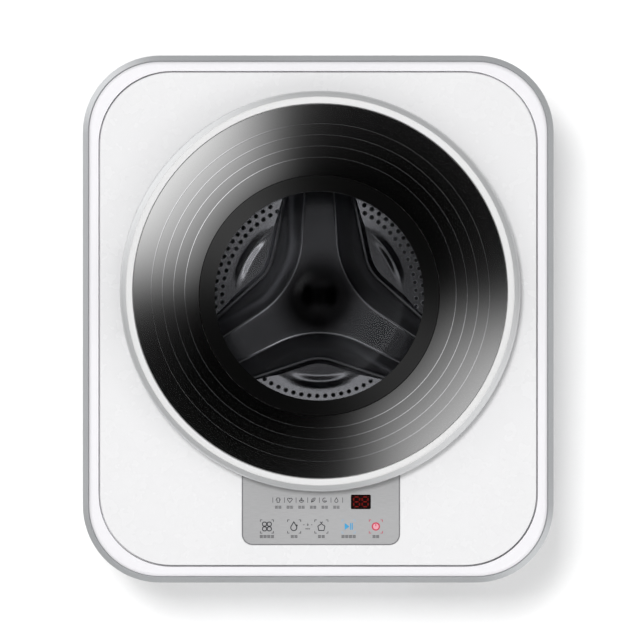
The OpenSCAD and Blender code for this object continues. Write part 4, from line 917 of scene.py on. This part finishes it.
def star_edge(across, tip, slope, rounding):
    """A point of a hollow's edge: its distance along the hollow, and across it."""
    lean = math.atan(slope)
    if abs(across) < rounding * math.sin(lean):
        return Vector((tip + rounding - math.sqrt(rounding ** 2 - across ** 2), across))
    return Vector((tip + rounding - rounding / math.cos(lean) + slope * abs(across), across))


def drum_point(axis, p, height):
    """A point of the drum's back from its place in a hollow at that angle."""
    turn = math.radians(axis)
    return front_point(WASH[0] + p[0] * math.cos(turn) - p[1] * math.sin(turn),
                       WASH[1] + p[0] * math.sin(turn) + p[1] * math.cos(turn),
                       DRUM_BACK + height)


def flank_profile(width):
    """Distance from the top edge and height, down one flank: crest, slope, shoulder and foot."""
    crest = [(-3.0, STAR_H), (-2.2, 21.95), (-1.6, 21.85), (-1.0, 21.74), (-0.4, 21.6),
             (0.2, 21.3), (1.2, 20.5), (2.4, 19.4)]
    slope = [(2.4 + (width - 7.8) * s, 19.4 - 12.7 * s - 1.6 * math.sin(math.pi * s))
             for s in (0.2, 0.4, 0.6, 0.8)]
    shoulder = [(width + x, height) for x, height in (
        (-5.4, 6.7), (-4.0, 6.15), (-3.2, 5.95), (-2.4, 5.81), (-1.6, 5.67), (-0.8, 5.53),
        (-0.2, 5.3), (0.3, 4.85), (0.9, 4.0), (3, 2.0), (6, 0.6), (8, 0.0))]
    return crest + slope + shoulder


def star_cap(bm, steps=36):
    """The raised star: six halves of a hollow's side, each from an arm's middle to the foot."""
    for axis in HOLLOWS:
        for side in (1, -1):
            rows = []
            for i in range(steps + 1):
                share = side * i / steps
                top = star_edge(share * TOP_END, *TOP_EDGE)
                foot = star_edge(share * FOOT_END, *FOOT_EDGE)
                down = (foot - top).normalized()
                spine = Vector((math.cos(ARM_TURN), side * math.sin(ARM_TURN)))
                spine *= STAR_R * i / steps
                line = [(spine.lerp(top - down * 3, s), STAR_H) for s in (0, 0.35, 0.7)]
                line += [(top + down * x, h) for x, h in flank_profile((foot - top).length)]
                rows.append([bm.verts.new(drum_point(axis, p, h)) for p, h in line])
            for a, b in zip(rows, rows[1:]):
                for j in range(len(a) - 1):
                    bm.faces.new((a[j], b[j], b[j + 1], a[j + 1]))


def floor_height(radius, angle):
    """Height of a hollow's floor: a dish, with a crescent swelling across its middle."""
    dish = DISH_SLOPE * max(0.0, min(radius, DISH_TO) - DISH_FROM)
    faded = (radius - DISH_FADE[0]) / (DISH_FADE[1] - DISH_FADE[0])
    dish *= 1 - min(1.0, max(0.0, faded))
    across = min(1.0, abs(radius - CRESCENT_R) / CRESCENT_HALF) * math.pi / 2
    along = min(1.0, abs(angle) / CRESCENT_ANGLE) * math.pi / 2
    return DRUM_SHEET + dish + CRESCENT_H * math.cos(across) ** 2 * math.cos(along) ** 2


def turned_point(radius, across, angle):
    """A point at a radius and a distance across it, turned by an angle in radians."""
    return (radius * math.cos(angle) - across * math.sin(angle),
            radius * math.sin(angle) + across * math.cos(angle))


def hollow_floor(bm, axis):
    """Perforated floor of one hollow. Its grid has four cells to the step of the holes, and the
    16 points round each block of four by four cells join the rim of a hole."""
    quarter = math.radians(HOLE_STEP / 4)
    cell = (HOLE_ROWS[1] - HOLE_ROWS[0]) / 4
    rings = [71, 74, 77, 80, 83, 86, 88, 89.5] + [91 + 1.25 * i for i in range(14)]
    first = len(rings)
    rings += [HOLE_ROWS[0] + cell * (i - 2) for i in range(9)]
    rings += [132, 138, 146, 156, 166, 176, 186, 192, 195.5]
    marks = range(-50, 51)
    grid = {(m, k): bm.verts.new(drum_point(axis, turned_point(radius, 0, m * quarter),
                                            floor_height(radius, math.degrees(m * quarter))))
            for m in marks for k, radius in enumerate(rings)}
    taken = set()
    for row, radius in enumerate(HOLE_ROWS):
        height = floor_height(radius, CRESCENT_ANGLE)
        for hole in range(-(ROW_HOLES // 2), ROW_HOLES // 2 + 1):
            left, low = 4 * hole - 3 + 2 * row, first + 4 * row
            loop = ([(left + i, low) for i in range(4)] + [(left + 4, low + i) for i in range(4)]
                    + [(left + 4 - i, low + 4) for i in range(4)]
                    + [(left, low + 4 - i) for i in range(4)])
            taken.update((left + i, low + j) for i in range(4) for j in range(4))
            edge = []
            for m, k in loop:
                out, across = rings[k] - radius, radius * (m - left - 2) * quarter
                reach = HOLE_R / math.hypot(out, across)
                place = turned_point(radius + out * reach, across * reach, (left + 2) * quarter)
                edge.append(bm.verts.new(
                    drum_point(axis, place, height + DISH_SLOPE * out * reach)))
            for i in range(16):
                j = (i + 1) % 16
                bm.faces.new((grid[loop[i]], grid[loop[j]], edge[j], edge[i]))
    for m in marks[:-1]:
        for k in range(len(rings) - 1):
            along, across = turned_point(rings[k], 0, (m + 0.5) * quarter)
            if (m, k) not in taken and along > star_edge(across, *TOP_EDGE)[0]:
                bm.faces.new((grid[m, k], grid[m + 1, k], grid[m + 1, k + 1], grid[m, k + 1]))


def rear_flange(bm, count=144):
    """Ring that joins the pressed back to the drum's wall."""
    inner, outer = STAR_R - 2, DRUM_R - DRUM_SHEET
    section = ((inner, DRUM_SHEET), (outer, DRUM_SHEET), (outer, -6.0),
               (outer - DRUM_SHEET, -6.0), (outer - DRUM_SHEET, 0.0), (inner, 0.0))
    loops = [[bm.verts.new(drum_point(360 * i / count, (r, 0), h)) for r, h in section]
             for i in range(count)]
    for i, a in enumerate(loops):
        b = loops[(i + 1) % count]
        for j in range(len(section)):
            k = (j + 1) % len(section)
            bm.faces.new((a[j], b[j], b[k], a[k]))


def pressed_back(bm):
    """Star and floors as one pressed sheet, thickened towards the wall."""
    star_cap(bm)
    for axis in HOLLOWS:
        hollow_floor(bm, axis)
    bmesh.ops.remove_doubles(bm, verts=bm.verts, dist=1e-6)
    loose = [v for v in bm.verts if not v.link_faces]
    bmesh.ops.delete(bm, geom=loose, context="VERTS")
    bmesh.ops.recalc_face_normals(bm, faces=bm.faces)
    made = bmesh.ops.extrude_face_region(bm, geom=bm.faces[:], use_keep_orig=True)
    for item in made["geom"]:
        if isinstance(item, bmesh.types.BMVert):
            item.co.y += DRUM_SHEET * MM
    rear_flange(bm)
    for face in bm.faces:
        face.smooth = True


drum_back = new_piece("drum_back_pressed", pressed_back, "drum", "back_sheet")
drum_back.data.set_sharp_from_angle(angle=math.radians(40))
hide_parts("drum_back")


# ---- Studio ----

def wall_paint(net, at):
    """White wall paint with the faintest roller texture."""
    roll = net.cloud(at, 300.0)
    return {"Base Color": net.mix(roll, rgb(250), rgb(253)),
            "Roughness": 0.9 + 0.05 * roll}


def clear_from_behind(net, at, paint):
    """The sheet doesn't hide the part from a camera behind it."""
    behind = net.node("ShaderNodeNewGeometry", out="Backfacing")
    clear = net.node("ShaderNodeBsdfTransparent")
    return net.node("ShaderNodeMixShader", None, (behind, paint, clear))


def studio_sheet(name, corners):
    """A big flat sheet of white paint."""
    mesh = bpy.data.meshes.new(name)
    mesh.from_pydata(corners, [], [tuple(range(len(corners)))])
    mesh.materials.append(finish(name + "_paint", wall_paint, clear_from_behind))
    sheet = bpy.data.objects.new(name, mesh)
    bpy.context.scene.collection.objects.link(sheet)
    return sheet


wall = studio_sheet("studio_wall", [(-3, 0.0005, -1.6), (3, 0.0005, -1.6), (3, 0.0005, 2.4),
                                    (-3, 0.0005, 2.4)])
wall.visible_shadow = wall.visible_diffuse = False
wall.visible_glossy = wall.visible_transmission = False
floor = studio_sheet("studio_floor",
                     [(-6, -6, -1.6), (6, -6, -1.6), (6, 6, -1.6), (-6, 6, -1.6)])
floor.visible_glossy = False


def soft_light(name, at, aim, size, watts):
    """A square softbox at a place, turned to a point."""
    lamp = bpy.data.lights.new(name, "AREA")
    lamp.shape, lamp.size, lamp.energy = "SQUARE", size, watts
    light = bpy.data.objects.new(name, lamp)
    light.location = at
    light.rotation_euler = (Vector(aim) - Vector(at)).to_track_quat("-Z", "Y").to_euler()
    light.visible_glossy = False
    bpy.context.scene.collection.objects.link(light)


soft_light("shadow_softbox", (-0.42, -4.3, 0.52), (0, 0, 0), 0.75, 104)
soft_light("key_softbox", (-1.35, -1.75, 1.40), (0, -0.25, 0.0), 1.1, 4.5)
soft_light("fill_softbox", (1.75, -1.75, -0.60), (0, -0.25, 0.0), 1.0, 6)
soft_light("back_softbox", (1.6, 2.2, 1.6), (0, 0, 0), 1.4, 40)

PANEL_LINE = math.radians(141)       # the two panels lie to both sides along this line
world = bpy.data.worlds.new("studio")
bpy.context.scene.world = world
world.use_nodes = True
sky = Net(world.node_tree)
look = sky.node("ShaderNodeTexCoord", out="Generated")
east, inward, high = sky.split(look)
aside = east * east + high * high
doubled_angle = ((east * east - high * high) * math.cos(2 * PANEL_LINE)
                 + 2 * east * high * math.sin(2 * PANEL_LINE)) / (aside + 0.0001)
fan = sky.ease(doubled_angle, 0.0, 1.05)
upper_left = sky.ease(high - east, -0.15, 0.15)
spread = sky.math("SQRT", aside)     # 0 straight out from the wall, 1 along it
panels = fan * sky.ease(spread, 0.34, 0.6) * (0.86 + 0.6 * upper_left)
level = sky.ease(high * high / (aside + 0.0001), 0.32, 0.8)
bars = 0.75 * level * sky.band(spread, 0.1, 0.18, 0.24, 0.3)
halo = (0.32 + fan * (1.6 - 1.2 * upper_left)) * sky.band(spread, 0.24, 0.3, 0.36, 0.42)
haze = 0.07 * sky.band(spread, 0.006, 0.03, 0.07, 0.14)
room = 0.5 * sky.ease(inward, 0.0, 0.3) + 0.1 * sky.ease(spread, 0.93, 0.99)
studio = 0.002 + haze + bars + halo + panels + room
glossy = sky.node("ShaderNodeLightPath", out="Is Glossy Ray")
ambient = sky.node("ShaderNodeBackground", None, (rgb(255), 0.45))
mirror = sky.node("ShaderNodeBackground", None, (rgb(255), studio))
sky.node("ShaderNodeOutputWorld", None,
         (sky.node("ShaderNodeMixShader", None, (glossy, ambient, mirror)),))

bpy.context.scene.view_settings.view_transform = "Standard"
bpy.context.scene.view_settings.look = "None"

REFERENCE = 0.290             # distance of the framed plane from the wall
AWAY = 4.0                    # of the lens from that plane
PIXEL = 0.0011353             # metres to a pixel in the framed plane
PICTURE = 640 * PIXEL
MIDDLE = (1.8 * PIXEL, -1.1 * PIXEL)    # the framed middle, right and up of the origin
LOW = 0.05                    # the lens stands lower than the framed middle, and is shifted up
lens = bpy.data.cameras.new("photo_view")
lens.sensor_width = 36.0
lens.lens = lens.sensor_width * AWAY / PICTURE
lens.shift_y = LOW / PICTURE
lens.clip_start, lens.clip_end = 0.1, 40
camera = bpy.data.objects.new("photo_view", lens)
camera.location = (MIDDLE[0], -REFERENCE - AWAY, MIDDLE[1] - LOW)
camera.rotation_euler = (math.radians(90), 0, 0)
bpy.context.scene.collection.objects.link(camera)
bpy.context.scene.camera = camera
